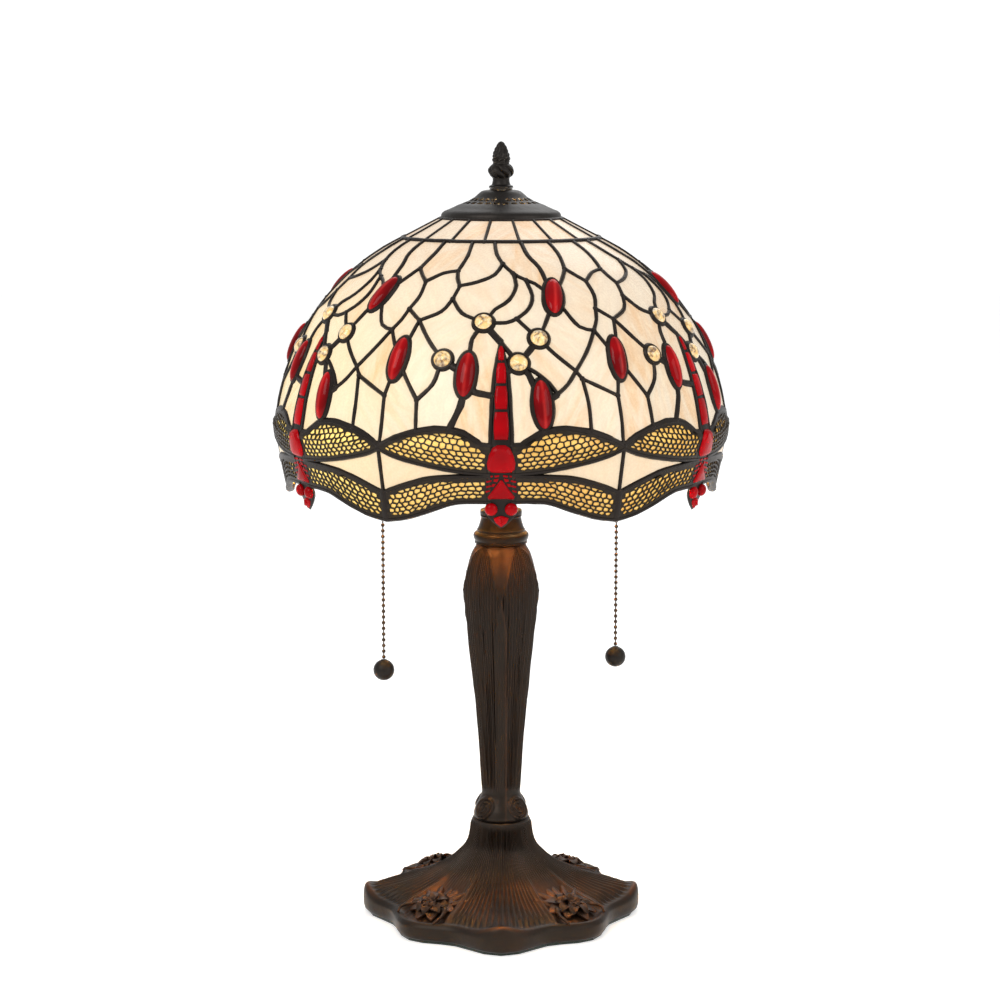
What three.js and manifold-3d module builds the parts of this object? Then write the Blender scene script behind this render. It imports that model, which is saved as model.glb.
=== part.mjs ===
// Stained glass table lamp with a dragonfly shade, in millimetres, +Z up.
// The origin is the middle of the underside of the felt pad. The front of the lamp faces -Y.
import * as THREE from "three";
import { mergeVertices } from "three/addons/utils/BufferGeometryUtils.js";
import Module from "manifold-3d";

const wasm = await Module();
wasm.setup();

// ---------------------------------------------------------------- driving sizes
const gap = 0.3; // clearance between pieces that seat on or pass through each other
const rodGap = 0.4; // radial clearance of anything threaded over a rod

const feltThickness = 1.8;
const baseRadius = 87; // mean plan radius of the lobed foot
const lobeDepth = 5.1; // how far the eight lobe edges swing in and out
const leafReach = 2.6; // how much further the four leaves reach than the flowers between them
const baseHeight = 67; // table to the top of the base's neck
const skirtHeight = 15;
const baseNeckRadius = 21.5;
const castWall = 3;
const weightRadius = 48;
const weightThickness = 12;

const rodRadius = 5; // M10 lamp rod
const rodBore = 3.4;
const nutHeight = 5;
const nutRadius = 8.5; // across the corners
const washerThickness = 1.5;
const bossSlack = 2; // the boss under the base hangs this far above the clamped stack
const glandRadius = 4;
const glandBore = 2.6;
const glandRise = 7; // casting's lower edge to the gland's axis

const columnHeight = 190;
const columnFootRadius = 19.5;
const columnWaistRadius = 13.4;
const columnShoulderRadius = 26.3;
const columnTopRadius = 17.2;
const columnSquareness = 0.045; // how far the corners stand out of the round section
const collarHeight = 18.7;
const collarRadius = 18.5;
const checkRingHeight = 3.7;
const checkRingRadius = 14;

const clusterYaw = 14.4; // degrees that the pair of lampholders is turned from the X axis
const clusterRadius = 19;
const clusterHeight = 27;
const clusterLift = 19; // check ring to the cluster's underside
const clusterWall = 1.5;
const armRadius = 4.6;
const armBore = 3.2;
const armDrop = 5; // lampholder's base above the arm's straight part
const armClearance = 1.2; // the arm is still bending where it enters the lampholder
const holderReach = 34; // lamp axis to the foot of a lampholder
const holderTilt = 40; // degrees that a lampholder leans outwards
const holderRadius = 17.5;
const holderCapHeight = 14;
const holderLength = 58;
const holderWall = 0.9;
const linerWall = 0.8;
const bulbCapRadius = 12.9; // E26/E27 screw cap
const bulbCapLength = 24.5;
const screwShellWall = 0.6;
const switchBlockHeight = 10.5;
const bulbRadius = 22.5;
const bulbLength = 60; // glass only
const bulbWall = 1;
const outletHeight = 20; // along the lampholder, from its foot to the chain outlet
const outletReach = 24;
const outletRadius = 2.6;
const outletMouthRadius = 4;
const outletWall = 0.7;

const pullReach = 81; // lamp axis to the hanging chains
const chainBeadRadius = 1.3;
const chainLinkRadius = 0.5;
const chainPitch = 3.84;
const chainBeads = 27;
const couplingRadius = 2.2;
const couplingLength = 7.4;
const stubLength = 5.2;
const stubDrop = 1.4; // outlet's mouth centre to the top of the short switch chain
const pullBallRadius = 7.15;

const glass = 3; // thickness of the leaded panels
const domeRadius = 150.5;
const shadeLift = 18.7; // cluster's top to the wing line, where the dome meets the dragonflies
const domeRise = 19; // the dome's centre lies this far under the wing line
const crownRingRadius = 65;
const apertureRadius = 39;
const crownRise = 13.5; // crown ring to the aperture
const cameRadius = 1.7;
const wingDepth = 52; // wing line to the wing tips
const scallop = 15; // wing tips to the wing roots
const wingFlare = 2; // the wing's upper corners stand out of the dome
const wingCorner = 5; // wing line to the height of those corners
const wingLean = 9.5; // how far the wings turn in from there to the rim
const sectors = 6;
const bodyRelief = 2.6;
const tailGap = 0.8; // tail to dome panel: the usual gap and the sag of both curved faces
const tailLength = 58; // above the wing line
const headDrop = 53; // below the wing line

const topRingWidth = 4.8;
const topRingHeight = 4;
const wheelHeight = 3;
const wheelHubRadius = 10;
const wheelArms = 3;
const capHeight = 17;
const capRadius = 39.2;
const capTopRadius = 9.6;
const capWall = 1.2;
const ventHoles = 10;
const ventRadius = 1.7;
const ventShare = 0.5; // how far down the slope the ring of holes lies
const finialHeight = 30.5;
const finialRadius = 8.5;
const studRadius = 3;
const finialWasherThickness = 0.8;
const finialSocket = 11.5;

// ---------------------------------------------------------------- levels, from the table up
const baseFoot = feltThickness + gap;
const crest = baseFoot + skirtHeight;
const glandHeight = baseFoot + glandRise;
const bossFoot = baseFoot + weightThickness + 3 * gap + nutHeight + washerThickness + bossSlack;
const weightFoot = bossFoot - gap - weightThickness;
const baseWasherFoot = weightFoot - gap - washerThickness;
const baseNutFoot = baseWasherFoot - gap - nutHeight;
const rodFoot = baseNutFoot - 0.6;
const columnFoot = baseHeight + gap;
const columnTop = columnFoot + columnHeight;
const collarFoot = columnTop + gap;
const collarTop = collarFoot + collarHeight;
const checkRingFoot = collarTop + gap;
const checkRingTop = checkRingFoot + checkRingHeight;
const clusterFoot = checkRingTop + clusterLift;
const clusterTop = clusterFoot + clusterHeight;
const armHeight = clusterFoot + 7.5;
const holderFoot = armHeight + armDrop;

const wingTopHeight = clusterTop + shadeLift;
const rimHeight = wingTopHeight - wingDepth;
const domeCentre = wingTopHeight - domeRise;
const crownRingHeight = domeCentre + Math.sqrt(domeRadius ** 2 - crownRingRadius ** 2);
const apertureHeight = crownRingHeight + crownRise;
const topRingTop = apertureHeight - gap;
const wheelTop = topRingTop - topRingHeight - gap;
const wheelFoot = wheelTop - wheelHeight;
const capFoot = apertureHeight + gap + 0.1;
const capTop = capFoot + capHeight;
const washerFoot = capTop + gap;
const finialFoot = washerFoot + finialWasherThickness + gap;

// ---------------------------------------------------------------- materials
const metal = (color, roughness = 0.45) =>
  new THREE.MeshStandardMaterial({ color, roughness, metalness: 0.85 });
const dull = (color, roughness = 0.8) =>
  new THREE.MeshStandardMaterial({ color, roughness, metalness: 0 });
const bronze = () => metal(0x3b2618);
const darkBronze = () => metal(0x1d1916, 0.5);
const brass = () => metal(0xb08a45, 0.35);
const steel = () => metal(0x9a9a98, 0.4);
const lead = () => metal(0x2a2420, 0.55);
const creamGlass = () => dull(0xf6e6c8, 0.25);
const amberGlass = () => dull(0xc08a2c, 0.3);
const bulbGlass = () => dull(0xf4f0e6, 0.3);

// ---------------------------------------------------------------- shape helpers
const radians = THREE.MathUtils.degToRad;

// A closed outline of [radius, height] pairs, anticlockwise with radius to the right, turned about Z.
function turned(outline, segments = 24) {
  const points = outline.map(([r, z]) => new THREE.Vector2(r, z));
  if (outline[0][0] > 0) points.push(points[0].clone());
  return new THREE.LatheGeometry(points, segments).rotateX(Math.PI / 2);
}

const tube = (outer, inner, low, high, segments = 20) =>
  turned([[inner, low], [outer, low], [outer, high], [inner, high]], segments);

const rod = (radius, low, high, segments = 16) =>
  turned([[0, low], [radius, low], [radius, high], [0, high]], segments);

// Moves each vertex of a turned shape in or out by a factor that depends on its bearing.
function reshape(geometry, factor) {
  const p = geometry.attributes.position;
  for (let i = 0; i < p.count; i++) {
    const radius = Math.hypot(p.getX(i), p.getY(i));
    const f = factor(Math.atan2(p.getY(i), p.getX(i)), radius, p.getZ(i));
    p.setXY(i, p.getX(i) * f, p.getY(i) * f);
  }
  return geometry;
}

function solid(geometry) {
  const bare = geometry.clone();
  for (const name of ["normal", "uv"]) bare.deleteAttribute(name);
  const merged = mergeVertices(bare, 1e-4);
  return new wasm.Manifold(
    new wasm.Mesh({
      numProp: 3,
      vertProperties: new Float32Array(merged.attributes.position.array),
      triVerts: new Uint32Array(merged.index.array),
    }),
  );
}

function shaped(manifold) {
  const mesh = manifold.getMesh();
  return new THREE.BufferGeometry()
    .setAttribute("position", new THREE.BufferAttribute(mesh.vertProperties, 3))
    .setIndex(new THREE.BufferAttribute(mesh.triVerts, 1));
}

const without = (geometry, ...tools) =>
  shaped(tools.reduce((left, tool) => left.subtract(solid(tool)), solid(geometry)));

function prism(points, depth) {
  const shape = new THREE.Shape(points.map(([x, y]) => new THREE.Vector2(x, y)));
  return new THREE.ExtrudeGeometry(shape, { depth, bevelEnabled: false });
}

function hexNut(low, high) {
  const shape = new THREE.Shape();
  for (let i = 0; i < 6; i++) {
    const a = (i * Math.PI) / 3;
    shape[i ? "lineTo" : "moveTo"](nutRadius * Math.cos(a), nutRadius * Math.sin(a));
  }
  shape.holes.push(new THREE.Path().absarc(0, 0, rodRadius + rodGap, 0, 2 * Math.PI, true));
  const options = { depth: high - low, bevelEnabled: false, curveSegments: 8 };
  return new THREE.ExtrudeGeometry(shape, options).translate(0, 0, low);
}

const lamp = new THREE.Group();

function add(name, geometry, material, parent = lamp) {
  const mesh = new THREE.Mesh(geometry, material);
  mesh.name = name;
  parent.add(mesh);
  return mesh;
}

// ---------------------------------------------------------------- base
// Plan of the foot: four leaves on the axes and a flower between each two.
const plan = (bearing) =>
  1 + (leafReach * Math.cos(4 * bearing) + lobeDepth * Math.cos(8 * bearing)) / baseRadius;

// The neck stays round and the skirt takes the whole plan.
function lobed(bearing, radius) {
  const reach = THREE.MathUtils.smoothstep(radius, baseNeckRadius * 1.4, baseRadius * 0.9);
  return 1 + (plan(bearing) - 1) * reach;
}

function baseCasting() {
  const rise = baseHeight - crest;
  const outer = [
    [baseRadius - 2, baseFoot],
    [baseRadius, crest - 2],
    [baseRadius - 3, crest + 1.5],
    [baseRadius * 0.66, crest + rise * 0.22],
    [baseNeckRadius + 9.4, crest + rise * 0.46],
    [baseNeckRadius + 4.3, crest + rise * 0.54],
    [baseNeckRadius + 1, crest + rise * 0.72],
    [baseNeckRadius, baseHeight],
  ];
  const inner = outer
    .slice(0, 5)
    .reverse()
    .map(([r, z], i) => [r - castWall, i < 4 ? z - castWall : z]);
  const hub = rodRadius + rodGap;
  const outline = [...outer, [hub, baseHeight], [hub, bossFoot], [hub + 9, bossFoot], ...inner];
  const body = reshape(turned(outline, 48), lobed);
  const reach = baseRadius * plan(Math.PI / 2);
  const drill = new THREE.CylinderGeometry(glandRadius + gap, glandRadius + gap, 30, 16);
  return without(body, drill.translate(0, reach - 2, glandHeight));
}

function cableGland() {
  const face = baseRadius * plan(Math.PI / 2) + 1;
  const outline = [
    [glandBore, -9],
    [glandRadius, -9],
    [glandRadius, 0],
    [glandRadius + 2, 0],
    [glandRadius + 1.4, 2],
    [glandBore, 2],
  ];
  return turned(outline, 16).rotateX(-Math.PI / 2).translate(0, face, glandHeight);
}

const feltOutline = reshape(rod(baseRadius - castWall, 0, feltThickness, 48), plan);
add("felt_pad", feltOutline, dull(0x2f4a35, 0.95));
add("base_casting", baseCasting(), bronze());
add("base_weight", tube(weightRadius, rodRadius + rodGap, weightFoot, weightFoot + weightThickness), steel());
add("base_washer", tube(13, rodRadius + rodGap, baseWasherFoot, baseWasherFoot + washerThickness), steel());
add("base_nut", hexNut(baseNutFoot, baseNutFoot + nutHeight), steel());
add("cable_gland", cableGland(), dull(0x14110f, 0.6));

// ---------------------------------------------------------------- column
const rounded4 = (bearing, radius) =>
  radius > rodRadius * 2 ? 1 + columnSquareness * Math.cos(4 * bearing) : 1;

function column() {
  const at = (share) => columnFoot + columnHeight * share;
  const between = (a, b, t) => a + (b - a) * t;
  const swell = (t) => between(columnWaistRadius, columnShoulderRadius, t ** 1.25);
  const shaft = [0, 0.3, 0.6, 1].map((t) => [swell(t), at(0.09 + 0.74 * t)]);
  const outline = [
    [rodRadius + rodGap, columnFoot],
    [columnFootRadius - 1, columnFoot],
    [columnFootRadius, at(0.015)],
    [between(columnWaistRadius, columnFootRadius, 0.78), at(0.036)],
    [between(columnWaistRadius, columnFootRadius, 0.36), at(0.06)],
    ...shaft,
    [columnShoulderRadius - 1.4, at(0.872)],
    [between(columnTopRadius, columnShoulderRadius, 0.6), at(0.935)],
    [between(columnTopRadius, columnShoulderRadius, 0.2), at(0.98)],
    [columnTopRadius, columnTop],
    [rodRadius + rodGap, columnTop],
  ];
  return reshape(turned(outline, 24), rounded4);
}

function collar() {
  const outline = [
    [rodRadius + rodGap, collarFoot],
    [collarRadius - 2, collarFoot],
    [collarRadius, collarFoot + 3],
    [collarRadius - 0.7, collarFoot + 6.5],
    [collarRadius - 3, collarFoot + 8.4],
    [collarRadius - 5.5, collarTop],
    [rodRadius + rodGap, collarTop],
  ];
  return turned(outline, 24);
}

function checkRing() {
  const outline = [
    [rodRadius + rodGap, checkRingFoot],
    [checkRingRadius - 0.8, checkRingFoot],
    [checkRingRadius, (checkRingFoot + checkRingTop) / 2],
    [checkRingRadius - 0.8, checkRingTop],
    [rodRadius + rodGap, checkRingTop],
  ];
  return turned(outline, 24);
}

const columnNutFoot = checkRingTop + gap;
add("column", column(), bronze());
add("column_collar", collar(), metal(0x6b4a22, 0.4));
add("check_ring", checkRing(), bronze());
add("column_nut", hexNut(columnNutFoot, columnNutFoot + nutHeight), brass());
add("lamp_rod", tube(rodRadius, rodBore, rodFoot, clusterFoot + 8, 16), steel());

// ---------------------------------------------------------------- cluster and lampholders
function clusterBody() {
  const r = clusterRadius;
  const hub = rodRadius + rodGap;
  const outline = [
    [hub, clusterFoot],
    [r * 0.63, clusterFoot],
    [r, clusterFoot + 6],
    [r, clusterTop - 6],
    [r * 0.63, clusterTop],
    [hub, clusterTop],
    [hub, clusterTop - clusterWall * 2],
    [r * 0.6, clusterTop - clusterWall * 2],
    [r - clusterWall, clusterTop - 7],
    [r - clusterWall, clusterFoot + 7],
    [r * 0.6, clusterFoot + clusterWall * 2],
    [hub, clusterFoot + clusterWall * 2],
  ];
  const hole = armRadius + armClearance;
  const drill = new THREE.CylinderGeometry(hole, hole, clusterRadius * 3, 12);
  drill.rotateZ(Math.PI / 2).translate(0, 0, armHeight);
  return without(turned(outline, 18), drill);
}

// The arm leaves the cluster level and turns up along the lampholder's axis.
function clusterArm() {
  const tilt = radians(holderTilt);
  const bend = holderReach - armDrop * Math.tan(tilt);
  const end = 3; // the arm's end stands this far inside the holder's cap
  const path = new THREE.QuadraticBezierCurve3(
    new THREE.Vector3(clusterRadius - 6, 0, armHeight),
    new THREE.Vector3(bend, 0, armHeight),
    new THREE.Vector3(
      holderReach + end * Math.sin(tilt),
      0,
      holderFoot + end * Math.cos(tilt),
    ),
  );
  const section = new THREE.Shape().absarc(0, 0, armRadius, 0, 2 * Math.PI);
  section.holes.push(new THREE.Path().absarc(0, 0, armBore, 0, 2 * Math.PI, true));
  return new THREE.ExtrudeGeometry(section, { steps: 6, curveSegments: 5, extrudePath: path });
}

const holderCap = () =>
  turned(
    [
      [armRadius + armClearance, 0],
      [holderRadius * 0.68, 0],
      [holderRadius * 0.94, holderCapHeight * 0.4],
      [holderRadius, holderCapHeight],
      [holderRadius - holderWall, holderCapHeight],
      [holderRadius * 0.94 - holderWall, holderCapHeight * 0.45],
      [holderRadius * 0.68 - holderWall, holderWall],
      [armRadius + armClearance, holderWall],
    ],
    18,
  );

// Chain outlet: a bell-mouthed pipe that stands square off the holder's shell.
function chainOutlet() {
  const foot = holderRadius + gap;
  const mouth = foot + outletReach;
  const outline = [
    [outletRadius - outletWall, foot],
    [outletRadius + 1.4, foot],
    [outletRadius + 1.4, foot + 1.5],
    [outletRadius, foot + 3],
    [outletRadius, mouth - 5],
    [outletMouthRadius, mouth],
    [outletMouthRadius - outletWall, mouth],
    [outletRadius - outletWall, mouth - 5],
  ];
  return turned(outline, 12).rotateY(Math.PI / 2).translate(0, 0, outletHeight);
}

function bulbEnvelope() {
  const foot = holderLength - 6 + gap;
  const centre = foot + bulbLength - bulbRadius;
  const neck = bulbCapRadius - 0.4;
  const arc = (radius, low) => {
    const from = -0.9;
    const points = [[neck - (bulbRadius - radius), low]];
    for (let i = 0; i <= 6; i++) {
      const a = THREE.MathUtils.lerp(from, Math.PI / 2, i / 6);
      points.push([i === 6 ? 0 : radius * Math.cos(a), centre + radius * Math.sin(a)]);
    }
    return points;
  };
  const outline = [...arc(bulbRadius, foot), ...arc(bulbRadius - bulbWall, foot).reverse()];
  return new THREE.LatheGeometry(
    [...outline, outline[0]].map(([r, z]) => new THREE.Vector2(r, z)),
    16,
  ).rotateX(Math.PI / 2);
}

function bulbCap() {
  const top = holderLength - 6;
  const foot = top - bulbCapLength;
  const r = bulbCapRadius;
  return turned([[0, foot], [4.5, foot], [r, foot + 5], [r, top], [0, top]], 20);
}

function addLampholder(side, yaw) {
  const arm = new THREE.Group();
  arm.rotation.z = yaw;
  lamp.add(arm);
  add(`cluster_arm_${side}`, clusterArm(), brass(), arm);

  const holder = new THREE.Group();
  holder.position.set(holderReach, 0, holderFoot);
  holder.rotation.y = radians(holderTilt);
  arm.add(holder);
  const shellFoot = holderCapHeight + gap;
  const linerOuter = holderRadius - holderWall - gap;
  const screwInner = bulbCapRadius + gap;
  const blockTop = shellFoot + switchBlockHeight;
  add(`lampholder_cap_${side}`, holderCap(), brass(), holder);
  add(
    `lampholder_shell_${side}`,
    tube(holderRadius, holderRadius - holderWall, shellFoot, holderLength),
    brass(),
    holder,
  );
  add(
    `insulating_liner_${side}`,
    tube(linerOuter, linerOuter - linerWall, shellFoot, holderLength - 1),
    dull(0xd8ccb0),
    holder,
  );
  add(
    `screw_shell_${side}`,
    tube(screwInner + screwShellWall, screwInner, blockTop + 1, holderLength - 3),
    brass(),
    holder,
  );
  add(
    `switch_block_${side}`,
    rod(linerOuter - linerWall - gap, shellFoot, blockTop, 20),
    dull(0x1b1b1b, 0.5),
    holder,
  );
  add(`chain_outlet_${side}`, chainOutlet(), brass(), holder);
  add(`bulb_cap_${side}`, bulbCap(), steel(), holder);
  add(`bulb_glass_${side}`, bulbEnvelope(), bulbGlass(), holder);
}

add("cluster_body", clusterBody().rotateZ(radians(clusterYaw)), brass());

// ---------------------------------------------------------------- pull chains
const tiltIn = radians(holderTilt);
const outletMouth = holderRadius + gap + outletReach;
const mouthHeight =
  holderFoot + outletHeight * Math.cos(tiltIn) - outletMouth * Math.sin(tiltIn);
const stubTop = mouthHeight - stubDrop;
const stubFoot = stubTop - stubLength;
const couplingTop = stubFoot - gap;
const couplingFoot = couplingTop - couplingLength;
const chainTop = couplingFoot - gap;
const chainFoot = chainTop - chainBeads * chainPitch;
const pullBallTop = chainFoot - gap;

// Beads on a fine link, turned as one solid.
function beadRun(top, count) {
  const outline = [[0, top - count * chainPitch]];
  for (let i = count - 1; i >= 0; i--) {
    const foot = top - (i + 1) * chainPitch;
    outline.push([chainBeadRadius, foot + chainPitch / 2]);
    if (i > 0) outline.push([chainLinkRadius, foot + chainPitch]);
  }
  outline.push([0, top]);
  return turned(outline, 6);
}

function stub() {
  const middle = (stubTop + stubFoot) / 2;
  const outline = [
    [0, stubFoot],
    [chainBeadRadius * 0.8, stubFoot + 0.5],
    [chainBeadRadius, stubFoot + 1.3],
    [chainLinkRadius, middle],
    [chainBeadRadius, stubTop - 1.3],
    [0, stubTop],
  ];
  return turned(outline, 8);
}

// Clamshell connector with rounded ends, hung from the switch's short chain.
function coupling() {
  const r = couplingRadius;
  const outline = [
    [0, couplingFoot],
    [r * 0.7, couplingFoot + r * 0.3],
    [r, couplingFoot + r],
    [r, couplingTop - r],
    [r * 0.7, couplingTop - r * 0.3],
    [0, couplingTop],
  ];
  return turned(outline, 10);
}

function addPull(side, yaw) {
  const pull = new THREE.Group();
  pull.position.set(pullReach * Math.cos(yaw), pullReach * Math.sin(yaw), 0);
  lamp.add(pull);
  const ball = new THREE.SphereGeometry(pullBallRadius, 12, 9)
    .rotateX(Math.PI / 2)
    .translate(0, 0, pullBallTop - pullBallRadius);
  add(`switch_pull_${side}`, stub(), brass(), pull);
  add(`chain_coupling_${side}`, coupling(), brass(), pull);
  add(`bead_chain_${side}`, beadRun(chainTop, chainBeads), darkBronze(), pull);
  add(`pull_ball_${side}`, ball, darkBronze(), pull);
}

for (const [side, turn] of [["right", 0], ["left", 180]]) {
  addLampholder(side, radians(clusterYaw + turn));
  addPull(side, radians(clusterYaw + turn));
}

// ---------------------------------------------------------------- riser and shade seat
function riser() {
  const shoulder = wheelTop + 4;
  const outline = [
    [0, clusterTop - 10],
    [rodRadius, clusterTop - 10],
    [rodRadius, shoulder],
    [studRadius, shoulder + 1],
    [studRadius, finialFoot + finialSocket - 1],
    [0, finialFoot + finialSocket - 1],
  ];
  return turned(outline, 16);
}

function shadeWheel() {
  const rim = apertureRadius - 2.5;
  const hub = rodRadius + rodGap;
  let wheel = solid(tube(rim, rim - 4, wheelFoot, wheelTop, 30));
  wheel = wheel.add(solid(tube(wheelHubRadius, hub, wheelFoot, wheelTop, 18)));
  for (let i = 0; i < wheelArms; i++) {
    const arm = new THREE.BoxGeometry(rim - wheelHubRadius - 1, 5, wheelHeight)
      .translate((rim + wheelHubRadius - 3) / 2, 0, (wheelFoot + wheelTop) / 2)
      .rotateZ(((i + 0.25) * 2 * Math.PI) / wheelArms);
    wheel = wheel.add(solid(arm));
  }
  return shaped(wheel);
}

const lockNutTop = wheelFoot - gap;
add("riser_rod", riser(), steel());
add("shade_wheel", shadeWheel(), brass());
add("riser_nut", hexNut(lockNutTop - nutHeight, lockNutTop), brass());

// ---------------------------------------------------------------- shade
// Outer radius of the dome at a height above the wing line.
const domeAt = (height) => Math.sqrt(domeRadius ** 2 - (height - domeCentre) ** 2);
const wingAt = (height) => {
  const top = domeAt(wingTopHeight);
  const corner = wingTopHeight - wingCorner;
  if (height > corner) return top + (wingFlare * (wingTopHeight - height)) / wingCorner;
  return top + wingFlare - (wingLean * (corner - height)) / (corner - rimHeight);
};

// Everything within half a sector of the front, less half the joint on each side.
function wedge(low, high) {
  const half = Math.PI / sectors;
  const apex = -gap / 2 / Math.sin(half);
  const reach = domeRadius * 2;
  const points = [
    [0, apex],
    [-reach * Math.sin(half), apex - reach * Math.cos(half)],
    [reach * Math.sin(half), apex - reach * Math.cos(half)],
  ];
  return solid(prism(points, high - low).translate(0, 0, low));
}

function domeSector() {
  const rows = 6;
  const from = Math.asin(domeRise / domeRadius);
  const joint = (cameRadius + gap) / domeRadius;
  const to = Math.acos(crownRingRadius / domeRadius) - joint;
  const arc = (radius) =>
    Array.from({ length: rows + 1 }, (_, i) => {
      const a = from + ((to - from) * i) / rows;
      return [radius * Math.cos(a), domeCentre + radius * Math.sin(a)];
    });
  const outline = [...arc(domeRadius), ...arc(domeRadius - glass).reverse()];
  const ring = solid(turned(outline, sectors * 6));
  return ring.intersect(wedge(wingTopHeight - 5, crownRingHeight + 5));
}

// The band of wings, whose lower edge drops from the roots to the tips. Its top clears the dome's
// lower edge, which is square to the glass.
function wingBand() {
  const top = wingTopHeight - gap - (glass * domeRise) / domeRadius;
  const heights = [rimHeight, (rimHeight + wingTopHeight) / 2, wingTopHeight - wingCorner, top];
  const outer = heights.map((z) => [wingAt(z), z]);
  const inner = heights.map((z) => [wingAt(z) - glass, z]).reverse();
  const band = turned([...outer, ...inner], sectors * 8);
  const p = band.attributes.position;
  for (let i = 0; i < p.count; i++) {
    const bearing = Math.atan2(p.getX(i), -p.getY(i));
    const lift = (scallop * (1 + Math.cos(sectors * bearing))) / 2;
    const share = (top - p.getZ(i)) / (top - rimHeight);
    p.setZ(i, p.getZ(i) + lift * share);
  }
  return solid(band).intersect(wedge(rimHeight - 5, wingTopHeight + 5));
}

// The insect's body stands proud of the wings and of the dome panel behind its tail.
function dragonflyBody() {
  const tailTop = wingTopHeight + tailLength;
  const chin = wingTopHeight - headDrop;
  const corner = wingTopHeight - wingCorner;
  const steps = 5;
  const tail = Array.from({ length: steps + 1 }, (_, i) => {
    const z = wingTopHeight + gap + ((tailLength + 2) * i) / steps;
    return [domeAt(z), z];
  });
  const front = [[wingAt(chin), chin - 1], [wingAt(chin + 24), chin + 24], [wingAt(corner), corner]];
  const outline = [
    ...front.map(([r, z]) => [r + bodyRelief, z]),
    ...tail.map(([r, z]) => [r + bodyRelief, z]),
    ...tail.map(([r, z]) => [r + tailGap, z]).reverse(),
    ...front.map(([r, z]) => [r - 1, z]).reverse(),
  ];
  const half = [
    [1.8, tailTop - 9],
    [2.9, tailTop - 21],
    [3.7, tailTop - 36],
    [4.4, wingTopHeight + 4],
    [5.2, wingTopHeight],
    [8.6, wingTopHeight - 11],
    [7.4, wingTopHeight - 19],
    [8.6, wingTopHeight - 33],
    [9.8, wingTopHeight - 42],
    [6.4, wingTopHeight - 47],
  ];
  const mirrored = half.map(([x, z]) => [-x, z]).reverse();
  const silhouette = [[0, tailTop], ...mirrored.reverse(), [0, chin], ...half.reverse()];
  const cutter = prism(silhouette, domeRadius).rotateX(Math.PI / 2).translate(0, -30, 0);
  return solid(turned(outline, sectors * 12)).intersect(solid(cutter));
}

function crown() {
  const lean = Math.atan2(crownRise, crownRingRadius - apertureRadius);
  const inset = cameRadius + gap;
  const low = [crownRingRadius - inset * Math.cos(lean), crownRingHeight + inset * Math.sin(lean)];
  const high = [apertureRadius, apertureHeight];
  const under = ([r, z]) => [r - glass * Math.sin(lean), z - glass * Math.cos(lean)];
  return turned([under(low), low, high, under(high)], 36);
}

function crownRing() {
  const middle = glass / 2;
  const r0 = crownRingRadius * (1 - middle / domeRadius);
  const z0 = crownRingHeight - middle;
  const outline = Array.from({ length: 4 }, (_, i) => {
    const a = (i * Math.PI) / 2;
    return [r0 + cameRadius * Math.cos(a), z0 + cameRadius * Math.sin(a)];
  });
  return turned(outline, 36);
}

function topRing() {
  const outer = apertureRadius - 2.3;
  return tube(outer, outer - topRingWidth, topRingTop - topRingHeight, topRingTop, 36);
}

function ventCap() {
  const at = (share) => capFoot + capHeight * share;
  const along = (share) => capTopRadius + (capRadius - capTopRadius) * share;
  const slope = [
    [capRadius - 0.5, capFoot],
    [capRadius, at(0.09)],
    [along(0.9), at(0.27)],
    [along(0.27), at(0.73)],
    [capTopRadius, capTop],
  ];
  const inner = slope.slice(0, 4).map(([r, z]) => [r - capWall, z - (z > capFoot ? capWall : 0)]);
  const bore = studRadius + rodGap;
  const outline = [...slope, [bore, capTop], [bore, capTop - capWall * 1.5], ...inner.reverse()];
  const drills = Array.from({ length: ventHoles }, (_, i) =>
    new THREE.CylinderGeometry(ventRadius, ventRadius, capHeight * 2, 5)
      .rotateX(Math.PI / 2)
      .translate(along(ventShare), 0, at(0.5))
      .rotateZ(((i + 0.5) * 2 * Math.PI) / ventHoles),
  );
  return without(turned(outline, ventHoles * 3), ...drills);
}

for (let k = 0; k < sectors; k++) {
  const turn = new THREE.Group();
  turn.rotation.z = (k * 2 * Math.PI) / sectors;
  lamp.add(turn);
  add(`dome_panel_${k + 1}`, shaped(domeSector()), creamGlass(), turn);
  add(`dragonfly_${k + 1}`, shaped(wingBand().add(dragonflyBody())), amberGlass(), turn);
}
add("crown_glass", crown(), creamGlass());
add("crown_came", crownRing(), lead());
add("shade_top_ring", topRing(), brass());
add("vent_cap", ventCap(), darkBronze());

// ---------------------------------------------------------------- finial
function finial() {
  const at = (share) => finialFoot + finialHeight * share;
  const bore = studRadius + gap;
  const profile = [
    [0.93, 0],
    [0.93, 0.05],
    [0.68, 0.18],
    [1, 0.4],
    [0.61, 0.56],
    [0.66, 0.64],
    [0.45, 0.85],
  ].map(([r, share]) => [finialRadius * r, at(share)]);
  const socketTop = finialFoot + finialSocket;
  const outline = [[bore, finialFoot], ...profile, [0, at(1)], [0, socketTop], [bore, socketTop]];
  const points = [...outline, outline[0]].map(([r, z]) => new THREE.Vector2(r, z));
  return new THREE.LatheGeometry(points, 14).rotateX(Math.PI / 2);
}

const washer = tube(finialRadius - 1, studRadius + gap, washerFoot, washerFoot + finialWasherThickness);
add("finial_washer", washer, brass());
add("finial", finial(), darkBronze());

export default lamp;
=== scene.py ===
import math
import random

import bmesh
import bpy
from bpy.props import FloatProperty, FloatVectorProperty, IntProperty, PointerProperty
from mathutils import Matrix, Vector, noise


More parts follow.
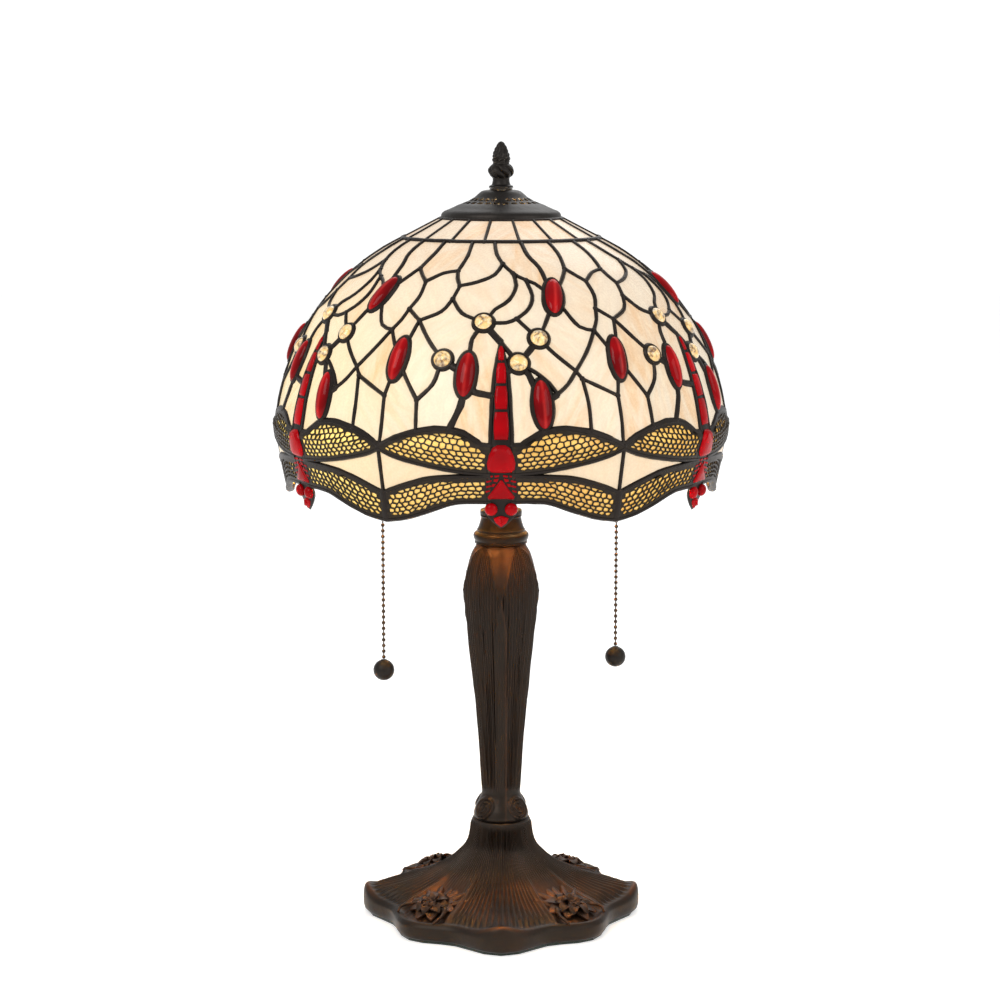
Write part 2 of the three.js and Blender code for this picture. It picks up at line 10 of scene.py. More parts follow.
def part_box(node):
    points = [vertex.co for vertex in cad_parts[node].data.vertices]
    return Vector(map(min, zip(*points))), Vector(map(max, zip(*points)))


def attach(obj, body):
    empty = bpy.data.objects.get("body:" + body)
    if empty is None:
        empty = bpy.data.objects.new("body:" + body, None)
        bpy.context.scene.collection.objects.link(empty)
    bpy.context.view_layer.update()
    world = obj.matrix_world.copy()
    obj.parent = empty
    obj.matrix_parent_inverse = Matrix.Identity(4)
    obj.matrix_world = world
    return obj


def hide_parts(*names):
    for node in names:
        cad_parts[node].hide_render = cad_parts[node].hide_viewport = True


bl_info = {
    "name": "Leaded Glass Table Lamp",
    "version": (1, 0, 0),
    "blender": (4, 5, 0),
    "location": "3D View > Sidebar > Table Lamp",
    "description": "A leaded glass dragonfly shade on a cast bronze stand",
    "category": "Object",
}

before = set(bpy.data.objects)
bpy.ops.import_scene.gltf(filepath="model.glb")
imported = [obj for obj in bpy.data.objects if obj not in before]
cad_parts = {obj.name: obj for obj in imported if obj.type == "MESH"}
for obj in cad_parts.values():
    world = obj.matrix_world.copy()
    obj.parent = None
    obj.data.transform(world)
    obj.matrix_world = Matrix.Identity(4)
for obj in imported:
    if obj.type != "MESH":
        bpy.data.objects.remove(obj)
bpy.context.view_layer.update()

# Heights and radii below are in millimetres, azimuths in degrees from the front, positive to
# the right. Heights on the shade are given from the wing line, where the dome ends.
SECTORS = 6
SECTOR = 60.0
WING_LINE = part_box("dome_panel_1")[0].z * 1000 + 0.4
WING_RADIUS = -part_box("dome_panel_1")[0].y * 1000
DOME_CENTRE = WING_LINE - 19.0
DOME_RADIUS = math.hypot(WING_RADIUS, 19.0)
CROWN_RADIUS = 65.0
CROWN_RING = DOME_CENTRE + math.sqrt(DOME_RADIUS ** 2 - CROWN_RADIUS ** 2)
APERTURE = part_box("crown_glass")[1].z * 1000
APERTURE_RADIUS = 39.0
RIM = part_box("dragonfly_1")[0].z * 1000 + 1.0
RIM_RADIUS = 141.8
FLARE = 2.0
FLARE_DEPTH = 5.0
UP = Vector((0, 0, 1))


def smooth(low, high, value):
    t = min(max((value - low) / (high - low), 0.0), 1.0)
    return t * t * (3 - 2 * t)


def bearing(az):
    a = math.radians(az)
    return Vector((math.sin(a), -math.cos(a), 0))


def shade_radius(z):
    if z >= CROWN_RING:
        share = (z - CROWN_RING) / (APERTURE - CROWN_RING)
        return CROWN_RADIUS + (APERTURE_RADIUS - CROWN_RADIUS) * share
    if z >= WING_LINE:
        return math.sqrt(DOME_RADIUS ** 2 - (z - DOME_CENTRE) ** 2)
    corner = WING_RADIUS + FLARE
    if z >= WING_LINE - FLARE_DEPTH:
        return WING_RADIUS + FLARE * smooth(0, FLARE_DEPTH, WING_LINE - z)
    share = (WING_LINE - FLARE_DEPTH - z) / (WING_LINE - FLARE_DEPTH - RIM)
    return corner + (RIM_RADIUS - corner) * share


def shade_normal(az, z):
    slope = (shade_radius(z + 1) - shade_radius(z - 1)) / 2
    return (bearing(az) - UP * slope).normalized()


def on_shade(az, h, out=0.0):
    """A point on the outside of the shade, in metres, h above the wing line."""
    z = WING_LINE + h
    point = bearing(az) * shade_radius(z) + UP * z
    return (point + shade_normal(az, z) * out) / 1000


def curve(points, count_between):
    """A smooth run through pairs of numbers, both ends included, with as many steps from each
    pair to the next as count_between says."""
    before = tuple(2 * a - b for a, b in zip(points[0], points[1]))
    after = tuple(2 * a - b for a, b in zip(points[-1], points[-2]))
    full = [before, *points, after]
    run = []
    for p0, p1, p2, p3 in zip(full, full[1:], full[2:], full[3:]):
        count = count_between(p1, p2)
        for i in range(count):
            t = i / count
            run.append(tuple(
                0.5 * (2 * b + (c - a) * t + (2 * a - 5 * b + 4 * c - d) * t * t
                       + (3 * b - a - 3 * c + d) * t ** 3)
                for a, b, c, d in zip(p0, p1, p2, p3)))
    run.append(tuple(points[-1]))
    return run


def spline(points, step):
    """A smooth run through (az, h) points on the shade."""
    def count_between(p1, p2):
        reach = math.radians(p2[0] - p1[0]) * shade_radius(WING_LINE + p1[1])
        return max(1, round(math.hypot(reach, (p2[1] - p1[1]) * 1.3) / step))
    return curve(points, count_between)


# ---------------------------------------------------------------- materials

class Value:
    """A socket of a material, on which sums add their Math nodes."""

    def __init__(self, finish, socket):
        self.finish = finish
        self.socket = socket

    def math(self, operation, *values):
        return self.finish.node("ShaderNodeMath", {"operation": operation}, enumerate(values))

    def __add__(self, other):
        return self.math("ADD", self, other)

    def __sub__(self, other):
        return self.math("SUBTRACT", self, other)

    def __rsub__(self, other):
        return self.math("SUBTRACT", other, self)

    def __mul__(self, other):
        return self.math("MULTIPLY", self, other)

    def __truediv__(self, other):
        return self.math("DIVIDE", self, other)

    def __rtruediv__(self, other):
        return self.math("DIVIDE", other, self)

    def __pow__(self, other):
        return self.math("POWER", self, other)

    __radd__ = __add__
    __rmul__ = __mul__

    def span(self, low, high, to_low=0.0, to_high=1.0):
        """This value with low..high spread over to_low..to_high, and held there."""
        return self.finish.node(
            "ShaderNodeMapRange", {"clamp": True},
            enumerate([self, low, high, to_low, to_high]))


class Finish:
    """A material in the making: a Principled shader and the nodes that feed it."""

    def __init__(self, name, **uniform):
        self.material = bpy.data.materials.new(name)
        self.material.use_nodes = True
        self.tree = self.material.node_tree
        self.tree.nodes.clear()
        shader = self.tree.nodes.new("ShaderNodeBsdfPrincipled")
        output = self.tree.nodes.new("ShaderNodeOutputMaterial")
        self.tree.links.new(shader.outputs[0], output.inputs[0])
        self.shader = shader
        for key, value in uniform.items():
            shader.inputs[key.replace("_", " ")].default_value = value

    def node(self, kind, settings=None, inputs=(), out=0):
        made = self.tree.nodes.new(kind)
        for key, value in (settings or {}).items():
            setattr(made, key, value)
        pairs = inputs.items() if isinstance(inputs, dict) else inputs
        for key, value in pairs:
            if isinstance(value, Value):
                self.tree.links.new(value.socket, made.inputs[key])
            else:
                made.inputs[key].default_value = value
        return Value(self, made.outputs[out])

    def feed(self, name, value):
        self.tree.links.new(value.socket, self.shader.inputs[name])

    def place(self, source="Object", scale=(1, 1, 1)):
        where = self.node("ShaderNodeTexCoord", out=source)
        return self.node("ShaderNodeMapping", {}, {"Vector": where, "Scale": scale})

    def axes(self, where):
        return [self.node("ShaderNodeSeparateXYZ", {}, {0: where}, out=i) for i in range(3)]

    def noise(self, where, scale, detail=3.0, roughness=0.55, distortion=0.0):
        return self.node("ShaderNodeTexNoise", {}, {
            "Vector": where, "Scale": scale, "Detail": detail,
            "Roughness": roughness, "Distortion": distortion})

    def cells(self, where, scale, feature="F1"):
        return self.node("ShaderNodeTexVoronoi", {"feature": feature}, {"Vector": where, "Scale": scale})

    def attribute(self, name):
        return self.node("ShaderNodeAttribute", {"attribute_name": name}, out="Fac")

    def mix(self, a, b, share, blend="MIX"):
        return self.node(
            "ShaderNodeMix", {"data_type": "RGBA", "blend_type": blend},
            {0: share, 6: a, 7: b}, out=2)

    def distance(self, where, point):
        return self.node("ShaderNodeVectorMath", {"operation": "DISTANCE"}, {0: where, 1: point}, out="Value")

    def bump(self, height, depth, strength=1.0):
        lifted = self.node("ShaderNodeBump", {}, {"Height": height, "Distance": depth, "Strength": strength})
        self.feed("Normal", lifted)


def rgb(colour, shade=1.0):
    return (colour[0] * shade, colour[1] * shade, colour[2] * shade, 1.0)


# How strongly each bulb's light is painted into the glass as glow and tint, and in metres how far it reaches.
LEFT_BULB, RIGHT_BULB = 1.35, 0.85
BULB_REACH = 0.055


def lamplight(finish):
    """How strongly the two bulbs light a point of the shade from inside, and how much of it is
    the left bulb's."""
    where = finish.place()
    parts = []
    for side, power in (("left", LEFT_BULB), ("right", RIGHT_BULB)):
        low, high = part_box("bulb_glass_" + side)
        away = finish.distance(where, (low + high) / 2)
        parts.append(power / (1 + (away / BULB_REACH) ** 2))
    return parts[0] + parts[1], parts[0]


# Heights in metres over which the painted bulb light in the cream glass turns rosier and dimmer towards the
# top, and the glass turns darker between wings.
ROSY_FROM_TO = (0.385, 0.475)
BAND_FROM_TO = (0.343, 0.335)


def art_glass(name, pale, streaked, warm, glow):
    """Opalescent sheet glass, streaked along each piece's own direction. The bulbs' light from behind is
    painted in: a glow in its emission, tinted yellow near the left bulb, and the same tint in its base
    colour.
    """
    f = Finish(name, IOR=1.5, Specular_IOR_Level=0.35, Emission_Strength=glow)
    streak = f.noise(f.place("UV", scale=(1.0, 0.22, 1.0)), 1.1, 3.0, 0.5, 0.8).span(0.40, 0.70)
    wisps = f.noise(f.place("UV", scale=(1.0, 0.3, 1.0)), 3.4, 3.0, 0.5, 0.6).span(0.45, 0.75)
    tone = f.attribute("tone")
    body = f.mix(rgb(pale), rgb(streaked), streak * tone.span(0, 1, 0.1, 1.0) + tone ** 2 * 0.4)
    body = f.mix(body, rgb(warm), wisps * 0.3)
    light, left = lamplight(f)
    height = f.axes(f.place())[2]
    high = height.span(*ROSY_FROM_TO)
    band = height.span(*BAND_FROM_TO)
    body = f.mix(body, rgb((0.70, 0.50, 0.30)), band * 0.55)
    # Painted light: the bulbs' tint, yellow near the left bulb and paler away from it, rosier at the top.
    painted_bulb_tint = f.mix(rgb((1.0, 0.80, 0.36)), rgb((0.80, 0.78, 0.64)), left.span(0.30, 0.06))
    painted_bulb_tint = f.mix(painted_bulb_tint, rgb((1.0, 0.74, 0.56)), high)
    lit = f.mix(body, painted_bulb_tint, tone.span(0, 1, 0.85, 0.45))
    # Painted light in the base colour too: the glass takes the bulbs' tint near the left bulb.
    f.feed("Base Color", f.mix(body, painted_bulb_tint, left.span(0.2, 0.9, 0.1, 0.5)))
    # Painted glow: the glass shines where the bulbs are near, and less at the top.
    painted_light = f.mix(rgb((0, 0, 0)), lit, light.span(0.0, 1.15, 0.06, 0.98) * (1 - high * 0.35))
    f.feed("Emission Color", painted_light)
    f.feed("Roughness", f.noise(f.place("UV"), 6.0).span(0.3, 0.7, 0.2, 0.34))
    f.bump(f.noise(f.place("UV", scale=(1.0, 0.5, 1.0)), 1.6, 1.0), 0.0003, 0.6)
    return f.material


def wing_glass(name, pale, deep, glow):
    """Amber ripple glass behind the wings' filigree. The bulbs' light is painted in: a glow in its emission,
    paler near the left bulb, and a base colour that turns deeper amber away from it.
    """
    f = Finish(name, IOR=1.5, Emission_Strength=glow)
    where = f.place()
    cloud = f.noise(where, 60.0, 3.0, 0.6).span(0.35, 0.65)
    light, left = lamplight(f)
    # Painted light in the base colour: deeper amber away from the left bulb.
    body = f.mix(rgb(pale), rgb(deep), cloud.span(0, 1, 0.0, 0.5) + left.span(0.34, 0.12, 0, 0.5))
    f.feed("Base Color", body)
    # Painted glow: pale amber where the left bulb is near, deep amber away from it.
    lit = f.mix(rgb(deep, 1.15), rgb(pale, 1.25), left.span(0.08, 0.4))
    lit = f.mix(lit, body, 0.3)
    f.feed("Emission Color", f.mix(rgb((0, 0, 0)), lit, light.span(0.0, 0.6, 0.35, 1.0)))
    f.feed("Roughness", cloud * 0.15 + 0.18)
    f.bump(f.noise(where, 220.0, 2.0), 0.0003)
    return f.material


def red_glass(name, deep, bright, glow, streaked):
    """Ruby glass, with the bulbs' light painted in as a glow. Cabochons carry a painted highlight, a bright
    streak along their length, and painted shade that darkens them towards their rims.
    """
    f = Finish(name, IOR=1.52, Coat_Weight=0.16 if streaked else 0.10, Coat_Roughness=0.03,
               Specular_IOR_Level=0.04, Emission_Strength=glow)
    where = f.place()
    cloud = f.noise(where, 45.0, 2.0).span(0.35, 0.7)
    body = f.mix(rgb(deep), rgb(bright), cloud)
    light, _ = lamplight(f)
    # Painted glow: brighter red where the bulbs are near.
    painted_light = f.mix(rgb(deep), rgb(bright), light.span(0.1, 0.8))
    if streaked:
        across = f.attribute("across")
        # Painted shade: the glow darkens towards the cabochon's rims.
        painted_light = f.mix(rgb(deep, 0.3), painted_light, across.span(0.9, 0.3) * across.span(-1.0, -0.5))
        # Painted highlight: a bright streak along the cabochon.
        band = across.span(-0.22, 0.02) * across.span(0.30, 0.06)
        ripple = f.noise(where, 120.0, 2.0).span(0.35, 0.65)
        painted_light = f.mix(painted_light, rgb((1.0, 0.06, 0.05)), band * (0.45 + ripple * 0.45))
        # Painted shade in the base colour: darker towards the rims.
        body = f.mix(rgb(deep, 0.35), rgb(bright, 0.62), cloud * across.span(0.95, 0.3))
    f.feed("Base Color", body)
    f.feed("Emission Color", painted_light)
    f.feed("Roughness", cloud * 0.05 + 0.08)
    f.bump(f.noise(where, 70.0, 2.0), 0.0003)
    return f.material


def jewel_glass(name):
    """Clear pressed jewels. What is seen through them is painted in as swirls of amber and dark, with painted
    glints and a painted glow.
    """
    f = Finish(name, IOR=1.5, Coat_Weight=1.0, Coat_Roughness=0.03, Emission_Strength=0.25)
    where = f.place()
    grain = f.cells(where, 420.0).span(0.1, 0.7)
    swirl = f.noise(where, 130.0, 3.0, 0.6, 1.5)
    # Painted light and shade: swirls of amber and dark for what is seen through the glass.
    body = f.mix(rgb((0.80, 0.50, 0.17)), rgb((0.16, 0.08, 0.03)), swirl.span(0.46, 0.62))
    # Painted glints: pale spots in the middle of each cell.
    body = f.mix(body, rgb((1.0, 0.88, 0.58)), (1 - grain) * 0.45)
    f.feed("Base Color", body)
    # Painted glow: the jewels shine in their own painted colours.
    f.feed("Emission Color", body)
    f.feed("Roughness", grain * 0.1 + 0.05)
    f.bump(grain, 0.0006)
    return f.material


def cast_metal(name, dark, rubbed, metallic, roughness, grain, depth, worn=0.3):
    """Cast and patinated metal: dark, with the bare colour on rubbed edges and wherever a piece's own
    "warmth" says that the patina is thin.
    On the column, "warmth" also carries painted light: the bulbs' light near its top and a highlight on one
    rim of each keel."""
    f = Finish(name, IOR=1.45)
    where = f.place()
    cloud = f.noise(where, grain * 0.35, 4.0, 0.65)
    fine = f.noise(where, grain * 2.2, 3.0, 0.6)
    edge = f.node("ShaderNodeNewGeometry", out="Pointiness").span(0.52, 0.62)
    wear_and_light = (cloud.span(0.5, 0.8) * 0.4 + edge * 0.6) * worn + f.attribute("warmth")
    body = f.mix(rgb(dark), rgb(rubbed), wear_and_light.span(0, 1))
    f.feed("Base Color", f.mix(body, rgb(dark, 0.6), fine.span(0.5, 0.75) * 0.4))
    f.feed("Roughness", cloud * 0.2 + (roughness - 0.1))
    f.feed("Metallic", cloud * 0.2 + (metallic - 0.1))
    f.bump(fine, depth, 0.6)
    return f.material


def plain_finish(name, light, dark, metallic, roughness, grain, depth, **uniform):
    """Any other finish: two shades in a fine mottle, with a little tooth."""
    f = Finish(name, Metallic=metallic, **uniform)
    where = f.place()
    mottle = f.noise(where, grain, 4.0, 0.6)
    f.feed("Base Color", f.mix(rgb(light), rgb(dark), mottle.span(0.35, 0.65)))
    f.feed("Roughness", mottle * 0.2 + (roughness - 0.1))
    f.bump(f.noise(where, grain * 3, 2.0), depth, 0.5)
    return f.material


def lit_bulb(name):
    """Frosted bulb glass that is switched on."""
    f = Finish(name, Emission_Strength=6.0, Roughness=0.4)
    where = f.place()
    cloud = f.noise(where, 30.0, 2.0)
    warm = f.mix(rgb((1.0, 0.72, 0.36)), rgb((1.0, 0.82, 0.52)), cloud)
    f.feed("Base Color", warm)
    f.feed("Emission Color", warm)
    return f.material


_finishes = {}


def finish(name):
    """The named finish, made from the sidebar's colours the first time it is asked for."""
    if name not in _finishes:
        c = bpy.context.scene.lamp_finish
        makers = {
            "cream": lambda: art_glass("cream opalescent glass", c.cream, c.cream_streak,
                                       (1.0, 0.86, 0.62), c.glow),
            "wing": lambda: wing_glass("amber ripple glass", c.amber_pale, c.amber_deep, c.glow * 2),
            "ruby": lambda: red_glass("ruby sheet glass", (0.24, 0.0, 0.002), c.ruby, 0.08, False),
            "ruby_gem": lambda: red_glass("ruby cabochon glass", (0.22, 0.0, 0.002), c.ruby, 0.42, True),
            "jewel": lambda: jewel_glass("clear pressed glass"),
            "lead": lambda: cast_metal("blackened lead", (0.014, 0.010, 0.008), (0.06, 0.047, 0.038),
                                       0.7, 0.42, 160.0, 0.0004),
            "filigree": lambda: cast_metal("filigree brass", (0.022, 0.016, 0.011), (0.10, 0.075, 0.045),
                                           0.7, 0.45, 200.0, 0.0003),
            "bronze": lambda: cast_metal("cast bronze", c.bronze, c.bronze_rubbed,
                                         0.7, 0.42, 60.0, 0.0004, 0.14),
            "gold_bronze": lambda: cast_metal("gilt bronze", (0.015, 0.009, 0.005), (0.27, 0.105, 0.032),
                                              0.8, 0.36, 60.0, 0.0003, 0.3),
            "dark_bronze": lambda: cast_metal("dark patinated bronze", (0.018, 0.015, 0.013),
                                              (0.09, 0.075, 0.062), 0.75, 0.42, 110.0, 0.0003),
            "brass": lambda: plain_finish("lacquered brass", (0.62, 0.42, 0.17), (0.40, 0.25, 0.09),
                                          1.0, 0.32, 70.0, 0.0001),
            "steel": lambda: plain_finish("zinc plated steel", (0.55, 0.55, 0.54), (0.38, 0.38, 0.38),
                                          1.0, 0.38, 90.0, 0.0001),
            "felt": lambda: plain_finish("green felt", (0.018, 0.030, 0.020), (0.012, 0.020, 0.014),
                                         0.0, 0.95, 900.0, 0.001, Sheen_Weight=0.4),
            "plastic": lambda: plain_finish("black moulded plastic", (0.012, 0.012, 0.012),
                                            (0.02, 0.02, 0.02), 0.0, 0.45, 300.0, 0.0002),
            "liner": lambda: plain_finish("fibre sleeve", (0.62, 0.54, 0.42), (0.5, 0.42, 0.31),
                                          0.0, 0.8, 260.0, 0.0003),
            "chain": lambda: plain_finish("aged brass chain", (0.10, 0.065, 0.04), (0.035, 0.024, 0.017),
                                          0.85, 0.4, 400.0, 0.0001),
            "bulb": lambda: lit_bulb("frosted lit bulb"),
        }
        _finishes[name] = makers[name]()
    return _finishes[name]


# ---------------------------------------------------------------- modelling helpers

def mesh_piece(bm, name, finish_name, body, replaces=(), sharp=40, recalc=True):
    """Makes the finished piece from bm, hangs it on its body's empty, and hides the CAD parts that it
    replaces.
    """
    if recalc:
        bmesh.ops.recalc_face_normals(bm, faces=bm.faces[:])
    mesh = bpy.data.meshes.new(name)
    bm.to_mesh(mesh)
    bm.free()
    mesh.materials.append(finish(finish_name))
    mesh.shade_smooth()
    mesh.set_sharp_from_angle(angle=math.radians(sharp))
    obj = bpy.data.objects.new(name, mesh)
    bpy.context.scene.collection.objects.link(obj)
    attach(obj, body)
    if replaces:
        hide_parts(*replaces)
    return obj


def skin(bm, rings, closed=False):
    """A tube drawn through rings of points, each of the same count."""
    across, along = len(rings[0]), len(rings) - (0 if closed else 1)
    grid = bmesh.ops.create_grid(bm, x_segments=across, y_segments=along, size=1)["verts"]
    merge = {}
    for i, vert in enumerate(grid):
        row, col = divmod(i, across + 1)
        vert.co = rings[row % len(rings)][col % across]
        home = (row % len(rings)) * (across + 1) + col % across
        if home != i:
            merge[vert] = grid[home]
    bmesh.ops.weld_verts(bm, targetmap=merge)


def cap_ends(bm):
    open_edges = [e for e in bm.edges if e.is_boundary]
    if open_edges:
        bmesh.ops.holes_fill(bm, edges=open_edges, sides=0)


BEAD_SIDES = 8


def bead(bm, run, width, height, closed=False, rise=-1.2):
    """Lead laid along a run of (az, h): width and height are halves, rise its axis' height."""
    rings = []
    count = len(run)
    for i, (az, h) in enumerate(run):
        before = run[(i - 1) % count] if closed or i else run[0]
        after = run[(i + 1) % count] if closed or i < count - 1 else run[-1]
        centre = on_shade(az, h, rise)
        ahead = on_shade(*after, rise) - on_shade(*before, rise)
        normal = shade_normal(az, WING_LINE + h)
        side = ahead.cross(normal).normalized()
        wide = width * (1 + 0.16 * noise.noise(centre * 170)) / 1000
        tall = height * (1 + 0.10 * noise.noise(centre * 230)) / 1000
        rings.append([
            centre + side * wide * math.cos(t) + normal * tall * math.sin(t)
            for t in (2 * math.pi * (j + 0.5) / BEAD_SIDES for j in range(BEAD_SIDES))])
    skin(bm, rings, closed)


def local_frame(az, h, out, tilt=0.0):
    """A matrix that puts a piece made flat, in millimetres, on the shade."""
    normal = shade_normal(az, WING_LINE + h)
    east = Vector((math.cos(math.radians(az)), math.sin(math.radians(az)), 0))
    north = normal.cross(east)
    turn = Matrix((east, north, normal)).transposed().to_4x4()
    return (Matrix.Translation(on_shade(az, h, out)) @ turn
            @ Matrix.Rotation(math.radians(tilt), 4, "Z") @ Matrix.Scale(0.001, 4))


def solder(bm, az, h, radius, rise=-0.9):
    """A joint's blob of solder."""
    made = bmesh.ops.create_icosphere(bm, subdivisions=2, radius=1)["verts"]
    shape = Matrix.Diagonal((radius, radius, 2.1, 1))
    bmesh.ops.transform(bm, matrix=local_frame(az, h, rise) @ shape, verts=made)


def turned(bm, outline, steps):
    """Spins an outline of (radius, height) in millimetres about the lamp's axis."""
    verts = [bm.verts.new((r / 1000, 0, z / 1000)) for r, z in outline]
    edges = [bm.edges.new(pair) for pair in zip(verts, verts[1:])]
    if outline[0][0] > 0 and outline[-1][0] > 0:
        edges.append(bm.edges.new((verts[-1], verts[0])))
    bmesh.ops.spin(bm, geom=verts + edges, cent=(0, 0, 0), axis=UP, angle=2 * math.pi,
                   steps=steps, use_merge=True)
    bmesh.ops.remove_doubles(bm, verts=bm.verts[:], dist=1e-6)
    bmesh.ops.recalc_face_normals(bm, faces=bm.faces[:])


def profile(points, value):
    """Linear reading of (where, size) points, which go up, at a place."""
    if value <= points[0][0]:
        return points[0][1]
    for (z0, r0), (z1, r1) in zip(points, points[1:]):
        if value <= z1:
            return r0 + (r1 - r0) * (value - z0) / (z1 - z0)
    return points[-1][1]


def rounded(points, steps):
    """A smooth outline through (radius, height) points."""
    return curve(points, lambda p1, p2: steps)


def stepped(outline, step_between):
    """The straight-sided outline with points added, about as far apart as step_between says for
    the heights of a side's ends."""
    path = [outline[0]]
    for (r0, z0), (r1, z1) in zip(outline, outline[1:]):
        count = max(1, round(math.hypot(r1 - r0, z1 - z0) / step_between(z0, z1)))
        path += [(r0 + (r1 - r0) * i / count, z0 + (z1 - z0) * i / count) for i in range(1, count + 1)]
    return path


def move_into(target, part, matrix):
    """Adds a part, moved by the matrix, to the target mesh."""
    bmesh.ops.transform(part, matrix=matrix, verts=part.verts[:])
    held = bpy.data.meshes.new("part")
    part.to_mesh(held)
    part.free()
    target.from_mesh(held)
    bpy.data.meshes.remove(held)


# ---------------------------------------------------------------- the shade's pattern

TOP = CROWN_RING - WING_LINE

# Lead junctions of one sector: azimuth and height above the wing line.
JOINTS = {
    "ring1": (-16, TOP), "ring2": (-3.5, TOP), "ring3": (11, TOP), "ring4": (27, TOP),
    "a1": (-17, 100), "a2": (-14.5, 91.5), "a3": (0.7, 104.5), "a4": (4.5, 99), "a5": (9, 95),
    "a7": (26, 101), "a8": (32, 93.5), "b1": (30.5, 77.5), "b2": (-15.8, 84), "b3": (-24.7, 71),
    "c1": (27.3, 65), "d1": (19.4, 41.7), "d2": (13.9, 28.3), "d3": (20.8, 37), "e1": (30, 26),
    "f1": (-21, 24.4), "g1": (4.6, 72.7), "tail_side": (-2.1, 27.8), "tail_tip": (0, 59),
    "tail_right": (1.7, 42), "root_left": (-2.5, -1.8), "root_right": (2.5, -1.8),
    "wing1": (-20.6, 5.5), "wing2": (-12.4, 7.2), "wing_gem": (10, 6.4), "wing3": (21.8, 5),
    "wing4": (30, -4),
}

# Gems: azimuth, height, half width, half length, lean in degrees anticlockwise.
GEMS = {
    "high_oval": (17.3, 85, 5.8, 14.0, -11),
    "side_oval": (-27.9, 48, 5.6, 14.2, -5),
    "left_oval": (-8.9, 40, 5.8, 14.2, -4),
    "right_oval": (10, 22.5, 5.8, 15.2, 3),
    "jewel1": (-5.1, 70.4, 5.6, 5.6, 0),
    "jewel2": (10.4, 61, 5.6, 5.6, 0),
    "jewel3": (4.5, 46.8, 5.6, 5.6, 0),
    "jewel4": (-15.4, 48.6, 5.6, 5.6, 0),
}
OVALS = ("high_oval", "side_oval", "left_oval", "right_oval")

THIN, THICK = 1.3, 2.1

# Lead lines of one sector: from, to, the sector that "to" lies in, bends, half width.
LINES = [
    ("ring1", "ring2", 0, [], THIN), ("ring2", "ring3", 0, [], THIN),
    ("ring3", "ring4", 0, [], THIN), ("ring4", "ring1", 1, [], THIN),
    ("ring1", "a1", 0, [(-15.3, 109)], THIN), ("a8", "a1", 1, [(37.5, 98.5)], THIN),
    ("a1", "a2", 0, [(-16.2, 96)], THIN), ("a7", "a8", 0, [(29.5, 96.5)], THIN),
    ("a8", "b1", 0, [(32.3, 85)], THIN), ("ring2", "a3", 0, [(-2, 110)], THIN),
    ("a3", "a2", 0, [(-2.5, 98), (-8.5, 93.8)], THIN), ("a3", "a4", 0, [(2.4, 101.8)], THIN),
    ("a4", "a5", 0, [(6.5, 96.8)], THIN), ("a5", "high_oval", 0, [(12, 92.8)], THIN),
    ("ring3", "high_oval", 0, [(12.3, 109), (15.5, 102)], 1.5),
    ("ring4", "a7", 0, [(27.6, 110)], 1.4), ("a7", "high_oval", 0, [], THIN),
    ("a4", "jewel1", 0, [(5.3, 92), (2.5, 83.5), (-2, 78)], THIN),
    ("a5", "g1", 0, [(10.3, 86), (8.5, 78.5)], THIN),
    ("g1", "jewel1", 0, [(1.5, 70.5)], THIN), ("g1", "jewel2", 0, [], THIN),
    ("a2", "b2", 0, [], THIN), ("b2", "jewel1", 0, [(-12, 76)], 1.3),
    ("b2", "b3", 0, [(-18.5, 76.5)], THIN), ("b1", "b3", 1, [], THIN),
    ("b3", "jewel4", 0, [(-20, 59)], 1.3), ("b3", "side_oval", 0, [], THIN),
    ("b1", "c1", 0, [(29.3, 71)], THIN), ("c1", "side_oval", 1, [], THIN),
    ("c1", "high_oval", 0, [(23, 67.5)], 1.3), ("c1", "d1", 0, [(23.5, 53)], THIN),
    ("jewel2", "high_oval", 0, [], 1.3), ("jewel2", "d1", 0, [(14.3, 52)], 1.3),
    ("jewel2", "jewel3", 0, [], THICK), ("jewel1", "tail_tip", 0, [], 2.3),
    ("jewel1", "left_oval", 0, [(-8, 61)], 1.4), ("jewel4", "left_oval", 0, [], 2.3),
    ("jewel4", "f1", 0, [(-17.3, 34)], 1.4), ("side_oval", "f1", 0, [], THIN),
    ("e1", "side_oval", 1, [], THIN), ("left_oval", "wing2", 0, [(-9.8, 22)], THICK),
    ("left_oval", "tail_side", 0, [(-6.6, 30)], THICK), ("tail_tip", "jewel3", 0, [], 1.6),
    ("jewel3", "tail_right", 0, [], THICK), ("jewel3", "right_oval", 0, [(7, 40.2)], THICK),
    ("jewel3", "d2", 0, [(8.7, 41.5), (12, 35)], 1.4), ("d1", "d2", 0, [(16.8, 34)], THIN),
    ("d2", "right_oval", 0, [], THICK), ("d1", "d3", 0, [], 1.3), ("d3", "e1", 0, [(25.5, 31.5)], THIN),
    ("right_oval", "wing_gem", 0, [], THICK), ("f1", "wing1", 0, [], THIN),
    ("d3", "wing3", 0, [(21.7, 22)], THIN), ("e1", "wing4", 0, [(30.2, 10)], THIN),
    ("tail_tip", "tail_side", 0, [(-0.9, 50), (-1.7, 39)], 1.4),
    ("tail_side", "root_left", 0, [(-2.4, 12)], 1.4),
    ("tail_tip", "tail_right", 0, [(0.8, 50)], 1.4),
    ("tail_right", "root_right", 0, [(2.1, 28), (2.4, 12)], 1.4),
    ("root_left", "wing2", 0, [(-4.6, -1.4), (-9, 5.4)], THICK),
    ("wing2", "wing1", 0, [(-16, 7.6)], THICK), ("wing1", "wing4", -1, [(-26, 1)], THICK),
    ("root_right", "wing_gem", 0, [(4.6, -1.4)], THICK),
    ("wing_gem", "wing3", 0, [(15.5, 7.6)], THICK), ("wing3", "wing4", 0, [(26.4, 0.6)], THICK),
]

